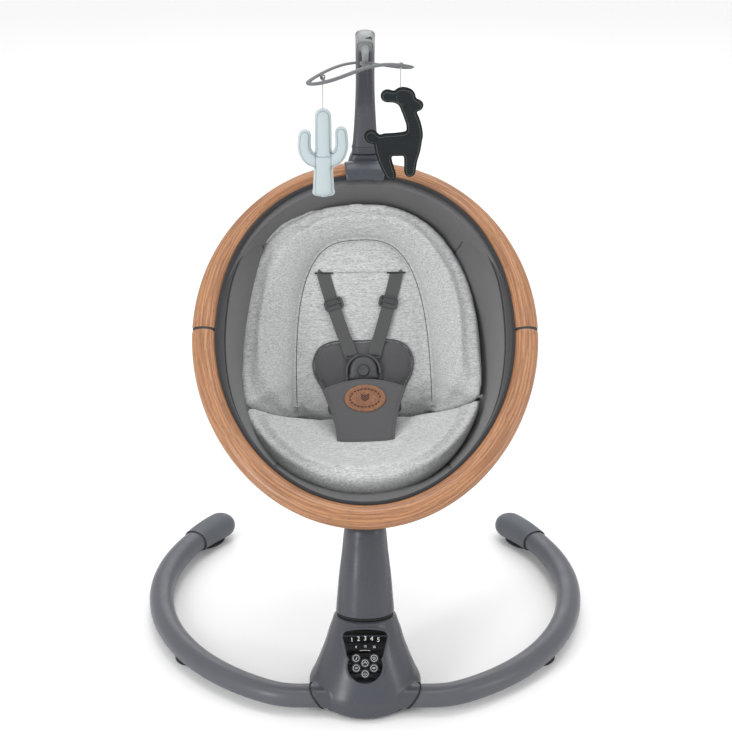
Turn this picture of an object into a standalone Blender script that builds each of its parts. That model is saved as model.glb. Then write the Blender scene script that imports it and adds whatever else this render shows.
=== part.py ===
"""Baby swing: a padded seat in an egg-shaped wood ring, on a leaning motor column with a C-shaped floor base.

Metres, +Z up, the front faces -Y. The origin is on the floor, at the middle of the swing's footprint.
Places are given in the base frame, whose origin is the centre of the circle that the legs follow.
"""

from math import acos, atan2, cos, pi, radians, sin, sqrt

import bmesh
import bpy
from mathutils import Matrix, Vector

# ---------------------------------------------------------------- driving dimensions
GAP = 0.0003                      # left between pieces that touch
LEG_CIRCLE_Y = 0.0471             # the legs' circle centre, behind the origin
LEG_CIRCLE_R = 0.303
LEG_HEIGHT = 0.0228               # centre line above the floor
LEG_HALF = (0.0178, 0.0148)       # half width and half height of the oval tube
LEG_WALL = 0.0018
LEG_ENTRY = (0.056, -0.2815)      # where the tube ends, inside the pod
LEG_ROUND_FROM = radians(30)      # the legs follow the circle from here back
CAP_MOUTH = radians(119.5)
CAP_END = radians(135.5)
CAP_HALF = (0.0222, 0.0180)
CAP_PLAY = 0.0008                 # between the tube and the cap's bore
SOLE_HEIGHT = 0.0045
LEG_PAD_AT = radians(59)

LEAN = radians(13)                # the column leans back
PIVOT = Vector((0, -0.212, 0.1135))   # where the column axis leaves the pod
AXIS = Vector((0, sin(LEAN), cos(LEAN)))
POD_WALL = 0.0025
SHAFT_R = 0.0165
SHAFT_SPAN = (-0.0860, 0.0780)    # along the axis, from PIVOT
BUSH_GAP = 0.0003
COVER_WALL = 0.0025
COVER_PROFILE = ((0.0030, 0.0396), (0.0060, 0.0402), (0.0233, 0.0388), (0.0402, 0.0374), (0.0573, 0.0358),
                 (0.0742, 0.0338), (0.0912, 0.0317), (0.1100, 0.0300), (0.1220, 0.0284), (0.1290, 0.0240),
                 (0.1330, 0.0160), (0.1342, 0.0070))      # height on the axis, radius

FACE_POINT = Vector((0, -0.2825, 0.0857))     # on the pod's front, under the fascia's middle
FACE_TILT = radians(60.6)
FASCIA_SINK = 0.0022              # the fascia's face, below the pod's crown
FASCIA_THICK = 0.0025
KEY_R = 0.0052
KEY_SPOTS = {"key_song": (-0.0123, -0.0018), "key_timer": (0.0123, -0.0018), "key_speed": (0, -0.0085),
             "key_volume": (-0.0120, -0.0152), "key_link": (0.0120, -0.0152), "key_power": (0, -0.0230)}

HINGE = Vector((0, -0.125, 0.205))            # recline axis, along X
BARREL = (0.0180, 0.0300)                     # radius and length
PIN_R = 0.0050

RING_TILT = radians(42)
RING_CENTRE = Vector((0, -0.055, 0.4575))
RING_HALF = (0.2235, 0.2603)                  # centre line, across and along
RING_EGG = 0.03                               # makes the ring widest above its middle
RING_SECTION = (0.0165, 0.0125)               # half width in the ring's plane, half height
BOWL_RIM = (0.2050, 0.2425)                   # bowl edge, across and along
BOWL_LOW = -0.050                             # deepest point, along the ring's long axis
BOWL_DEPTH = 0.206
BOWL_WALL = 0.0040
BACK_TILT = radians(64.4)                     # the seat back, from the floor
CREASE = Vector((0, 0.0328, 0.2943))          # where seat and back meet

SPINE_HALF = (0.0072, 0.0190)                 # half thickness and half width
SPINE_OFF = 0.0130                            # its centre line, outside the bowl
ARM_ROOT = Vector((0, 0.170, 0.652))
SADDLE_HALF = 0.0270               # the toy bar's clip over the ring: half its length along the ring
SADDLE_WALL = 0.0024
SADDLE_GAP = 0.0009                # over the tube
SADDLE_TURN = (radians(-60), radians(152))    # round the tube, from behind it to the front; 0 is outwards
LEVER_HINGE = Vector((0, -0.101, 0.2365))
HANGER_Z = 0.8430
HANGER_Y = -0.030
TIP_Z = 0.8600
HANGER_YAW = radians(19)
CACTUS_ALONG = -0.0590            # where the strings hang, along the hanger
LLAMA_ALONG = 0.0500
CACTUS_STRING = 0.0385
LLAMA_STRING = 0.0260
STRING_R = 0.0009
EYE_DROP = 0.0027                 # from the hanger's centre line to the string's upper end

POD_SECTIONS = (                  # height, half width, half depth, centre y, share of the column's lean
    (0.0060, 0.0725, 0.0630, -0.2450, 0.0), (0.0130, 0.0770, 0.0675, -0.2450, 0.0),
    (0.0260, 0.0775, 0.0690, -0.2448, 0.0), (0.0420, 0.0705, 0.0650, -0.2415, 0.12),
    (0.0600, 0.0625, 0.0600, -0.2360, 0.30), (0.0780, 0.0552, 0.0548, -0.2290, 0.50),
    (0.0930, 0.0502, 0.0512, -0.2215, 0.75), (0.1040, 0.0466, 0.0480, -0.2160, 0.95),
    (0.1095, 0.0446, 0.0452, -0.2133, 1.0), (0.1125, 0.0425, 0.0425, -0.2124, 1.0),
    (0.1125, 0.0245, 0.0245, -0.2124, 1.0))
POD_CENTRE_Y = -0.2450
INLET = Vector((-0.035, -0.1880, 0.0240))
INLET_R = 0.0062
SCREW_X = 0.047
BUSH_R = 0.0230                   # outer radius of the lower bearing; the upper one is a little larger
COIL_OUT = 0.0405                 # the drive coil and its magnet, from the column's axis
MAGNET_OUT = 0.0265
DRIVE_AT = -0.0550                # both, along the axis

STRAP_TOP = (0.0515, 0.2100, 0.0085)          # across, up and out from the seat back's crease
STRAP_MID = (0.0300, 0.1300, 0.0155)
STRAP_END = (0.0125, 0.0930, 0.0180)
STRAP_HALF = 0.0095
STRAP_THICK = 0.0014
ADJUSTER_UP = 0.0370              # along the strap from its middle
ADJUSTER_SIZE = (0.0270, 0.0160, 0.0062)
WAIST_OUT = 0.0110
WAIST_THICK = 0.0060
BUCKLE_HALF = 0.0200
BUCKLE_UP = 0.0670
BUCKLE_FOOT = 0.0560
BUCKLE_OUT = 0.0260
BUCKLE_THICK = 0.0130
BUTTON_AT = (0, 0.0680, 0.0325)
BUTTON_R = 0.0080
FLAP_AT = (0, 0.0060, 0.0680)
FLAP_LEAN = radians(-24)
FLAP_THICK = 0.0050
FLAP_SIDE = ((0.0405, -0.0450), (0.0428, -0.0180), (0.0486, 0.0040), (0.0605, 0.0410))
FLAP_RISE = 0.0130                # of its arched top edge
BADGE_HALF = (0.0295, 0.0210)
BADGE_UP = 0.0223
BADGE_THICK = 0.0016

PARTS = bpy.data.collections.new("baby_swing")
GUIDES = bpy.data.collections.new("guides_and_cutters")


# ---------------------------------------------------------------- helpers
def clear_scene():
    for obj in list(bpy.data.objects):
        bpy.data.objects.remove(obj, do_unlink=True)
    for collection in (PARTS, GUIDES):
        bpy.context.scene.collection.children.link(collection)


def material(name, colour, roughness, metallic=0.0):
    made = bpy.data.materials.new(name)
    made.use_nodes = True
    shader = made.node_tree.nodes["Principled BSDF"]
    shader.inputs["Base Color"].default_value = (*colour, 1.0)
    shader.inputs["Roughness"].default_value = roughness
    shader.inputs["Metallic"].default_value = metallic
    return made


def empty(name, location, tilt=0.0, parent=None):
    """A joint axis or a frame: location in the base frame, tilted about X."""
    made = bpy.data.objects.new(name, None)
    made.empty_display_size = 0.03
    PARTS.objects.link(made)
    made.location = location
    made.rotation_euler = (tilt, 0, 0)
    world = Matrix.Translation(location) @ Matrix.Rotation(tilt, 4, "X")
    if parent is not None:
        world = BASE_WORLD @ world
        made.parent = parent
        made.matrix_parent_inverse = WORLDS[parent.name].inverted() @ BASE_WORLD
    WORLDS[name] = world
    return made


def place(obj, parent, surface=None, location=(0, 0, 0), rotation=(0, 0, 0)):
    """Hang a piece on a frame; its location and rotation are in the base frame."""
    obj.location = location
    obj.rotation_euler = rotation
    obj.parent = parent
    obj.matrix_parent_inverse = WORLDS[parent.name].inverted() @ BASE_WORLD
    if surface is not None:
        obj.data.materials.clear()
        obj.data.materials.append(surface)
        obj.data.shade_smooth()
        obj.data.set_sharp_from_angle(angle=radians(35))
    return obj


def from_bmesh(name, bm):
    mesh = bpy.data.meshes.new(name)
    bm.to_mesh(mesh)
    bm.free()
    made = bpy.data.objects.new(name, mesh)
    PARTS.objects.link(made)
    return made


def guide(obj):
    """Move a cutter or a section out of the parts."""
    for collection in list(obj.users_collection):
        collection.objects.unlink(obj)
    GUIDES.objects.link(obj)
    obj.hide_render = True
    obj.display_type = "WIRE"
    return obj


def as_mesh(obj):
    """Turn a curve object into a mesh object with its caps welded."""
    bpy.context.view_layer.update()
    evaluated = obj.evaluated_get(bpy.context.evaluated_depsgraph_get())
    mesh = bpy.data.meshes.new_from_object(evaluated)
    bm = bmesh.new()
    bm.from_mesh(mesh)
    bmesh.ops.remove_doubles(bm, verts=bm.verts, dist=1e-6)
    bmesh.ops.recalc_face_normals(bm, faces=bm.faces)
    bm.to_mesh(mesh)
    bm.free()
    name = obj.name
    matrix = obj.matrix_world.copy()
    bpy.data.objects.remove(obj, do_unlink=True)
    made = bpy.data.objects.new(name, mesh)
    made.matrix_world = matrix
    PARTS.objects.link(made)
    return made


def spline(curve, points, cyclic=False, radii=None):
    line = curve.splines.new("POLY")
    line.points.add(len(points) - 1)
    for index, point in enumerate(points):
        line.points[index].co = (*point, 1.0)
        line.points[index].radius = radii[index] if radii else 1.0
    line.use_cyclic_u = cyclic


def oval(half_w, half_h, sides):
    return [(half_w * cos(2 * pi * k / sides), half_h * sin(2 * pi * k / sides), 0) for k in range(sides)]


def sweep(name, points, half_w, half_h, sides=10, radii=None, caps=True, cyclic=False):
    """An oval bar along points; half_h is kept along the path's local Z."""
    section = bpy.data.curves.new(name + "_section", "CURVE")
    section.dimensions = "2D"
    spline(section, oval(half_w, half_h, sides), cyclic=True)
    outline = guide(bpy.data.objects.new(name + "_section", section))
    path = bpy.data.curves.new(name, "CURVE")
    path.dimensions = "3D"
    path.twist_mode = "Z_UP"
    path.bevel_mode = "OBJECT"
    path.bevel_object = outline
    path.use_fill_caps = caps
    spline(path, points, cyclic=cyclic, radii=radii)
    made = bpy.data.objects.new(name, path)
    PARTS.objects.link(made)
    return as_mesh(made)


def rod(name, points, radius, resolution=2):
    """A round wire or string."""
    path = bpy.data.curves.new(name, "CURVE")
    path.dimensions = "3D"
    path.bevel_depth = radius
    path.bevel_resolution = resolution
    path.use_fill_caps = True
    spline(path, points)
    made = bpy.data.objects.new(name, path)
    PARTS.objects.link(made)
    return as_mesh(made)


def plate(name, outline, thickness, holes=()):
    """A flat outline in local XY, as thick along Z, centred on z = 0."""
    flat = bpy.data.curves.new(name, "CURVE")
    flat.dimensions = "2D"
    flat.fill_mode = "BOTH"
    flat.extrude = thickness / 2
    for ring in (outline, *holes):
        spline(flat, [(x, y, 0) for x, y in ring], cyclic=True)
    made = bpy.data.objects.new(name, flat)
    PARTS.objects.link(made)
    return as_mesh(made)


def disc(radius, centre=(0, 0), sides=16):
    return [(centre[0] + radius * cos(2 * pi * k / sides), centre[1] + radius * sin(2 * pi * k / sides))
            for k in range(sides)]


def box(name, size, bevel=0.0, segments=1):
    bm = bmesh.new()
    bmesh.ops.create_cube(bm, size=1.0)
    bmesh.ops.scale(bm, verts=bm.verts, vec=size)
    made = from_bmesh(name, bm)
    if bevel:
        add_bevel(made, bevel, segments)
    return made


def cylinder(name, radius, length, sides=20, bevel=0.0):
    """A cylinder along local Z, centred."""
    bm = bmesh.new()
    bmesh.ops.create_cone(bm, cap_ends=True, segments=sides, radius1=radius, radius2=radius, depth=length)
    made = from_bmesh(name, bm)
    if bevel:
        add_bevel(made, bevel, 1)
    return made


def turned(name, profile, sides=20, wall=0.0, closed=False):
    """Spin (radius, height) points, listed top to bottom on the outer side, about local Z."""
    mesh = bpy.data.meshes.new(name)
    edges = [(k, k + 1) for k in range(len(profile) - 1)]
    if closed:
        edges.append((len(profile) - 1, 0))
    mesh.from_pydata([(radius, 0, height) for radius, height in profile], edges, [])
    made = bpy.data.objects.new(name, mesh)
    PARTS.objects.link(made)
    spin = made.modifiers.new("spin", "SCREW")
    spin.steps = spin.render_steps = sides
    spin.use_merge_vertices = True
    spin.merge_threshold = 0.00001
    if wall:
        add_wall(made, wall)
    return made


def ring_of(name, inner, outer, length, sides=20):
    """A plain bush along local Z, centred."""
    profile = ((inner, length / 2), (outer, length / 2), (outer, -length / 2), (inner, -length / 2))
    return turned(name, profile, sides, closed=True)


def loft(name, rings, ends="caps"):
    """Join rings of equal length; ends: caps, open, loop, or point (the last ring is one point)."""
    bm = bmesh.new()
    rows = [[bm.verts.new(point) for point in ring] for ring in rings]
    pairs = list(zip(rows, rows[1:]))
    if ends == "loop":
        pairs.append((rows[-1], rows[0]))
    for first, second in pairs:
        count = max(len(first), len(second))
        for k in range(count):
            after = (k + 1) % count
            if len(second) == 1:
                bm.faces.new((first[k], first[after], second[0]))
            elif len(first) == 1:
                bm.faces.new((first[0], second[after], second[k]))
            else:
                bm.faces.new((first[k], first[after], second[after], second[k]))
    if ends == "caps":
        bm.faces.new(rows[0])
        bm.faces.new(rows[-1])
    bmesh.ops.recalc_face_normals(bm, faces=bm.faces)
    return from_bmesh(name, bm)


def add_bevel(obj, width, segments=2):
    edge = obj.modifiers.new("bevel", "BEVEL")
    edge.width = width
    edge.segments = segments
    edge.limit_method = "ANGLE"
    edge.angle_limit = radians(40)


def add_wall(obj, thickness, offset=-1.0):
    shell = obj.modifiers.new("wall", "SOLIDIFY")
    shell.thickness = thickness
    shell.offset = offset
    shell.use_even_offset = True


def combine(obj, others, operation="DIFFERENCE"):
    """Cut the others from obj, or unite them with it."""
    for other in others:
        cut = obj.modifiers.new(operation.lower(), "BOOLEAN")
        cut.operation = operation
        cut.object = guide(other)
        cut.solver = "EXACT"
    return obj


def smooth_path(points, count):
    """Catmull-Rom points through the given ones."""
    points = [Vector(p) for p in points]
    ends = [points[0] * 2 - points[1], *points, points[-1] * 2 - points[-2]]
    path = []
    for k in range(count):
        at = k / (count - 1) * (len(points) - 1)
        start = min(int(at), len(points) - 2)
        t = at - start
        a, b, c, d = ends[start:start + 4]
        path.append(0.5 * (2 * b + (c - a) * t + (2 * a - 5 * b + 4 * c - d) * t * t
                           + (3 * b - a - 3 * c + d) * t * t * t))
    return path


def on_axis(distance):
    return PIVOT + AXIS * distance


def beside_axis(out):
    """Behind the column's axis, level with its drive."""
    return on_axis(DRIVE_AT) + Vector((0, out * cos(LEAN), -out * sin(LEAN)))


def along_leg(side, start, end, count):
    """Centre-line points of a leg between two angles of its circle, from the front."""
    return [Vector((side * LEG_CIRCLE_R * sin(a), -LEG_CIRCLE_R * cos(a), LEG_HEIGHT))
            for a in (start + (end - start) * k / (count - 1) for k in range(count))]


def leg_path(side, end):
    """From inside the pod out to the circle, then round it."""
    entry = Vector((side * LEG_ENTRY[0], LEG_ENTRY[1], LEG_HEIGHT))
    joint = along_leg(side, LEG_ROUND_FROM, end, 2)[0]
    pull = 0.045
    heading = Vector((-side * cos(LEG_ROUND_FROM), -sin(LEG_ROUND_FROM), 0))
    first = entry + Vector((side * pull, 0, 0))
    second = joint + heading * pull
    blend = []
    for k in range(6):
        t = k / 6
        blend.append(entry * (1 - t) ** 3 + first * 3 * t * (1 - t) ** 2 + second * 3 * t * t * (1 - t)
                     + joint * t ** 3)
    return blend + along_leg(side, LEG_ROUND_FROM, end, 15)


def ring_point(phi, half=RING_HALF):
    """A point of the egg outline in the ring's plane; phi is 0 at the top."""
    return Vector((half[0] * sin(phi) * (1 + RING_EGG * cos(phi)), half[1] * cos(phi), 0))


def bowl_point(fraction, phi, lift=0.0):
    """A point of the bowl: fraction 0 at the ring, 1 at the deepest point; lift is inwards."""
    def surface(f, p):
        edge = ring_point(p, BOWL_RIM)
        front = max(0.0, -cos(p)) ** 2
        back = max(0.0, cos(p)) ** 2
        side = 1 - front - back
        power = 1.2 * (front + back) + 2.6 * side
        root = 0.75 * front + 0.40 * back + 0.45 * side
        depth = BOWL_DEPTH * max(0.0, 1 - (1 - f) ** power) ** root
        low = Vector((0, BOWL_LOW, 0))
        flat = edge + (low - edge) * f
        return Vector((flat.x, flat.y, -depth))
    here = surface(fraction, phi)
    if not lift:
        return here
    if fraction > 0.999:
        return here + Vector((0, 0, lift))
    step = 0.002
    down = surface(min(fraction + step, 1), phi) - surface(max(fraction - step, 0.0), phi)
    along = surface(fraction, phi + 0.02) - surface(fraction, phi - 0.02)
    normal = along.cross(down)
    inward = normal.normalized() if normal.z > 0 else -normal.normalized()
    return here + inward * lift


def bowl_band(name, fractions, low, high, sides=24):
    """A closed solid between two lifts over the bowl, a ring or, up to fraction 1, a dish."""
    angles = [2 * pi * k / sides for k in range(sides)]
    closed = fractions[-1] >= 1
    used = fractions[:-1] if closed else fractions
    under = [[bowl_point(f, a, low) for a in angles] for f in used]
    over = [[bowl_point(f, a, high) for a in angles] for f in used]
    if not closed:
        return loft(name, under + over[::-1], "loop")
    centre = [[bowl_point(1.0, 0.0, low)]], [[bowl_point(1.0, 0.0, high)]]
    return loft(name, centre[0] + under[::-1] + over + centre[1], "open")


# ---------------------------------------------------------------- base
def make_leg(side, name):
    leg = sweep(name, leg_path(side, radians(130)), *LEG_HALF, caps=False)
    add_wall(leg, LEG_WALL)
    return place(leg, BASE, GREY)


def leg_cutter(side, name):
    fat = sweep(name, leg_path(side, radians(100)), LEG_HALF[0] + GAP, LEG_HALF[1] + GAP)
    return guide(place(fat, BASE))


def make_foot_cap(side, name):
    """A rounded boot over the leg's end, hollow from its mouth."""
    count = 9
    path = along_leg(side, CAP_MOUTH, CAP_END, count)
    rings = []
    for k, centre in enumerate(path):
        angle = CAP_MOUTH + (CAP_END - CAP_MOUTH) * k / (count - 1)
        out = Vector((side * sin(angle), -cos(angle), 0))
        nose = max(0.0, (k - 4) / 4)
        scale = sqrt(max(0.0, 1 - nose ** 2.4)) if k < count - 1 else 0.22
        swell = 0.93 + 0.07 * min(1.0, k / 3)
        half_w = CAP_HALF[0] * scale * swell
        half_h = CAP_HALF[1] * scale * swell
        rings.append([centre + out * (half_w * cos(a)) + Vector((0, 0, half_h * sin(a)))
                      for a in (2 * pi * j / 14 for j in range(14))])
    rings.append([path[-1] + Vector((side * cos(CAP_END), sin(CAP_END), 0)) * 0.0008])
    cap = loft(name, rings, "open")
    place(cap, BASE, GREY)
    inner = guide(place(sweep(name + "_bore", along_leg(side, radians(115), radians(130.6), 8),
                              LEG_HALF[0] + CAP_PLAY, LEG_HALF[1] + CAP_PLAY), BASE))
    close_mouth(cap)
    return combine(cap, [inner])


def close_mouth(obj):
    """Fill the open ring that a loft was left with."""
    bm = bmesh.new()
    bm.from_mesh(obj.data)
    bmesh.ops.holes_fill(bm, edges=[edge for edge in bm.edges if edge.is_boundary])
    bmesh.ops.recalc_face_normals(bm, faces=bm.faces)
    bm.to_mesh(obj.data)
    bm.free()


def make_sole(side, name):
    middle = (CAP_MOUTH + CAP_END) / 2
    spot = along_leg(side, middle, middle + 0.1, 2)[0]
    outline = [(0.024 * cos(2 * pi * k / 24), 0.013 * sin(2 * pi * k / 24)) for k in range(24)]
    sole = plate(name, outline, SOLE_HEIGHT)
    return place(sole, BASE, RUBBER, (spot.x, spot.y, SOLE_HEIGHT / 2), (0, 0, side * middle))


def make_leg_pad(side, name):
    spot = along_leg(side, LEG_PAD_AT, LEG_PAD_AT + 0.1, 2)[0]
    height = 0.0130
    outline = [(0.017 * cos(2 * pi * k / 20), 0.0105 * sin(2 * pi * k / 20)) for k in range(20)]
    pad = plate(name, outline, height)
    place(pad, BASE, RUBBER, (spot.x, spot.y, height / 2), (0, 0, side * LEG_PAD_AT))
    return combine(pad, [leg_cutter(side, name + "_saddle")])


def pod_ring(height, half_x, half_y, centre_y, tilt, sides=26):
    lean = LEAN * tilt
    return [Vector((half_x * cos(a), centre_y + half_y * sin(a) * cos(lean),
                    height - half_y * sin(a) * sin(lean))) for a in (2 * pi * k / sides for k in range(sides))]


def fascia_outline(grow=0.0):
    """A shield: wide and gently arched at the top, narrowing to a round lower lobe."""
    right = []
    for angle in (90, 86, 82):
        right.append((0.140 * cos(radians(angle)), -0.1025 + 0.140 * sin(radians(angle))))
    for angle in (65, 40, 15, -10):
        right.append((0.0222 + 0.0085 * cos(radians(angle)), 0.0272 + 0.0085 * sin(radians(angle))))
    right.append((0.0272, 0.0120))
    for angle in (22, 8, -8, -24, -40, -57, -74, -90):
        right.append((0.0225 * cos(radians(angle)), -0.0140 + 0.0225 * sin(radians(angle))))
    outline = right + [(-x, y) for x, y in right[1:-1][::-1]]
    grown = []
    for k, (x, y) in enumerate(outline):
        before = outline[k - 1]
        after = outline[(k + 1) % len(outline)]
        run = Vector((after[0] - before[0], after[1] - before[1]))
        out = Vector((-run.y, run.x)).normalized()
        grown.append((x + out.x * grow, y + out.y * grow))
    return grown


def on_face(x, y, rise):
    """A point in front of the pod: across, up the face, and out of it."""
    up = Vector((0, cos(FACE_TILT), sin(FACE_TILT)))
    out = Vector((0, -sin(FACE_TILT), cos(FACE_TILT)))
    return FACE_POINT + Vector((x, 0, 0)) + up * y + out * rise


def make_pod():
    housing = loft("pod_housing", [pod_ring(*row) for row in POD_SECTIONS], "open")
    place(housing, BASE, GREY)
    add_wall(housing, POD_WALL)
    depth = 0.0130
    bezel = plate("bezel_block", fascia_outline(0.0036), depth)
    place(bezel, BASE, None, on_face(0, 0, -FASCIA_SINK + 0.0004 - depth / 2), (FACE_TILT, 0, 0))
    combine(housing, [bezel], "UNION")
    window = plate("fascia_window", fascia_outline(0.0004), 0.040)
    place(window, BASE, None, on_face(0, 0, 0), (FACE_TILT, 0, 0))
    inlet = cylinder("inlet_hole", INLET_R, 0.040)
    place(inlet, BASE, None, INLET, (pi / 2, 0, 0))
    combine(housing, [window, inlet, leg_cutter(-1, "left_leg_hole"), leg_cutter(1, "right_leg_hole")])

    fascia = plate("control_fascia", fascia_outline(), FASCIA_THICK,
                   [disc(KEY_R + 0.0004, spot) for spot in KEY_SPOTS.values()])
    place(fascia, BASE, GLOSS, on_face(0, 0, -FASCIA_SINK - FASCIA_THICK / 2), (FACE_TILT, 0, 0))
    for name, (x, y) in KEY_SPOTS.items():
        axis = empty(name + "_axis", on_face(x, y, 0), FACE_TILT, BASE)
        key = cylinder(name, KEY_R, 0.0042, 16)
        place(key, axis, GLOSS, on_face(x, y, -FASCIA_SINK + 0.0004 - 0.0021), (FACE_TILT, 0, 0))
    board = box("control_board", (0.034, 0.040, 0.0016))
    place(board, BASE, BOARD, on_face(0, -0.006, -FASCIA_SINK - 0.0110), (FACE_TILT, 0, 0))


def make_pod_inside():
    floor = [[Vector((x * 0.0690, POD_CENTRE_Y + y * 0.0600, z)) for x, y in
              ((cos(2 * pi * k / 24), sin(2 * pi * k / 24)) for k in range(24))] for z in (0.0060, 0.0077)]
    plate_obj = loft("pod_base_plate", floor)
    place(plate_obj, BASE, BLACK)
    boss = cylinder("bearing_boss", 0.0262, 0.036)
    place(boss, BASE, None, on_axis(-0.0900), (-LEAN, 0, 0))
    hollow = cylinder("bearing_bore", 0.0233, 0.040)
    place(hollow, BASE, None, on_axis(-0.0690), (-LEAN, 0, 0))
    under = box("floor_below", (0.2, 0.2, 0.050))
    place(under, BASE, None, (0, POD_CENTRE_Y, -0.0190))
    combine(plate_obj, [boss], "UNION")
    combine(plate_obj, [hollow, under])
    for name, x in (("base_screw_left", -SCREW_X), ("base_screw_right", SCREW_X)):
        hole = cylinder(name + "_hole", 0.0022, 0.02, 16)
        place(hole, BASE, None, (x, POD_CENTRE_Y, 0.0075))
        combine(plate_obj, [hole])
        head = ((0, 0.0170), (0.0019, 0.0165), (0.0019, 0.0057), (0.0040, 0.0057), (0.0040, 0.0035), (0, 0.0035))
        place(turned(name, head, 12), BASE, STEEL, (x, POD_CENTRE_Y, 0))

    foot = [[Vector((x * half_x, POD_CENTRE_Y + y * half_y, z)) for x, y in
             ((cos(2 * pi * k / 24), sin(2 * pi * k / 24)) for k in range(24))]
            for half_x, half_y, z in ((0.0560, 0.0480, 0.0), (0.0660, 0.0570, 0.0), (0.0670, 0.0580, 0.0057),
                                      (0.0550, 0.0470, 0.0057))]
    place(loft("pod_foot_ring", foot, "loop"), BASE, RUBBER)

    place(ring_of("lower_bearing", SHAFT_R + BUSH_GAP, BUSH_R, 0.0100), BASE, NYLON, on_axis(-0.0800),
          (-LEAN, 0, 0))
    place(ring_of("upper_bearing", SHAFT_R + BUSH_GAP, BUSH_R + 0.0008, 0.0072), BASE, NYLON, on_axis(-0.0050),
          (-LEAN, 0, 0))
    coil = ring_of("drive_coil", 0.0040, 0.0110, 0.0070)
    turn = pi / 2 - LEAN
    place(coil, BASE, COPPER, beside_axis(COIL_OUT), (turn, 0, 0))
    profile = ((0.0, 0.0110), (0.0150, 0.0110), (0.0160, 0.0040), (0.0100, 0.0), (0.0, 0.0))
    place(turned("speaker", profile), BASE, BLACK, (0.0450, -0.2220, 0.0094))
    jack = ((0.0, -0.0110), (0.0034, -0.0110), (0.0034, 0.0), (0.0058, 0.0), (0.0058, -0.0130), (0.0, -0.0130))
    place(turned("dc_inlet", jack, 16), BASE, BLACK, INLET + Vector((0, 0.0050, 0)), (-pi / 2, 0, 0))


def make_base():
    for side, word in ((-1, "left"), (1, "right")):
        make_leg(side, word + "_leg")
        make_foot_cap(side, word + "_foot_cap")
        make_sole(side, word + "_foot_sole")
        make_leg_pad(side, word + "_leg_pad")
    make_pod()
    make_pod_inside()


# ---------------------------------------------------------------- column
def make_column():
    turn = (-LEAN, 0, 0)
    length = SHAFT_SPAN[1] - SHAFT_SPAN[0]
    shaft = ring_of("column_shaft", SHAFT_R - 0.0025, SHAFT_R, length)
    place(shaft, COLUMN, STEEL, on_axis(sum(SHAFT_SPAN) / 2), turn)
    place(ring_of("pivot_seal", SHAFT_R + GAP, 0.0392, 0.0028), COLUMN, RUBBER, on_axis(0.0011), turn)

    profile = [(radius, height) for height, radius in COVER_PROFILE[::-1]]
    cover = turned("column_cover", [(0.0, 0.1345), *profile], 20, COVER_WALL)
    place(cover, COLUMN, GREY, PIVOT, turn)
    slot = box("arm_slot", (0.0270, 0.060, 0.0270))
    place(slot, COLUMN, None, (0, -0.1600, 0.2060))
    combine(cover, [slot])

    arm = cylinder("hinge_arm", 0.0235, 0.0250)
    place(arm, COLUMN, ALLOY, on_axis(0.0920), turn)
    reach = box("arm_reach", (0.0240, 0.0650, 0.0220))
    place(reach, COLUMN, None, (0, -0.1570, 0.2050))
    barrel = cylinder("arm_barrel", *BARREL)
    place(barrel, COLUMN, None, HINGE, (0, pi / 2, 0))
    bore = cylinder("arm_bore", PIN_R + GAP, 0.06, 24)
    place(bore, COLUMN, None, HINGE, (0, pi / 2, 0))
    combine(arm, [reach, barrel], "UNION")
    combine(arm, [bore])

    magnet = box("drive_magnet", (0.0140, 0.0180, 0.0120), 0.001)
    place(magnet, COLUMN, STEEL, beside_axis(MAGNET_OUT), turn)


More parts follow.
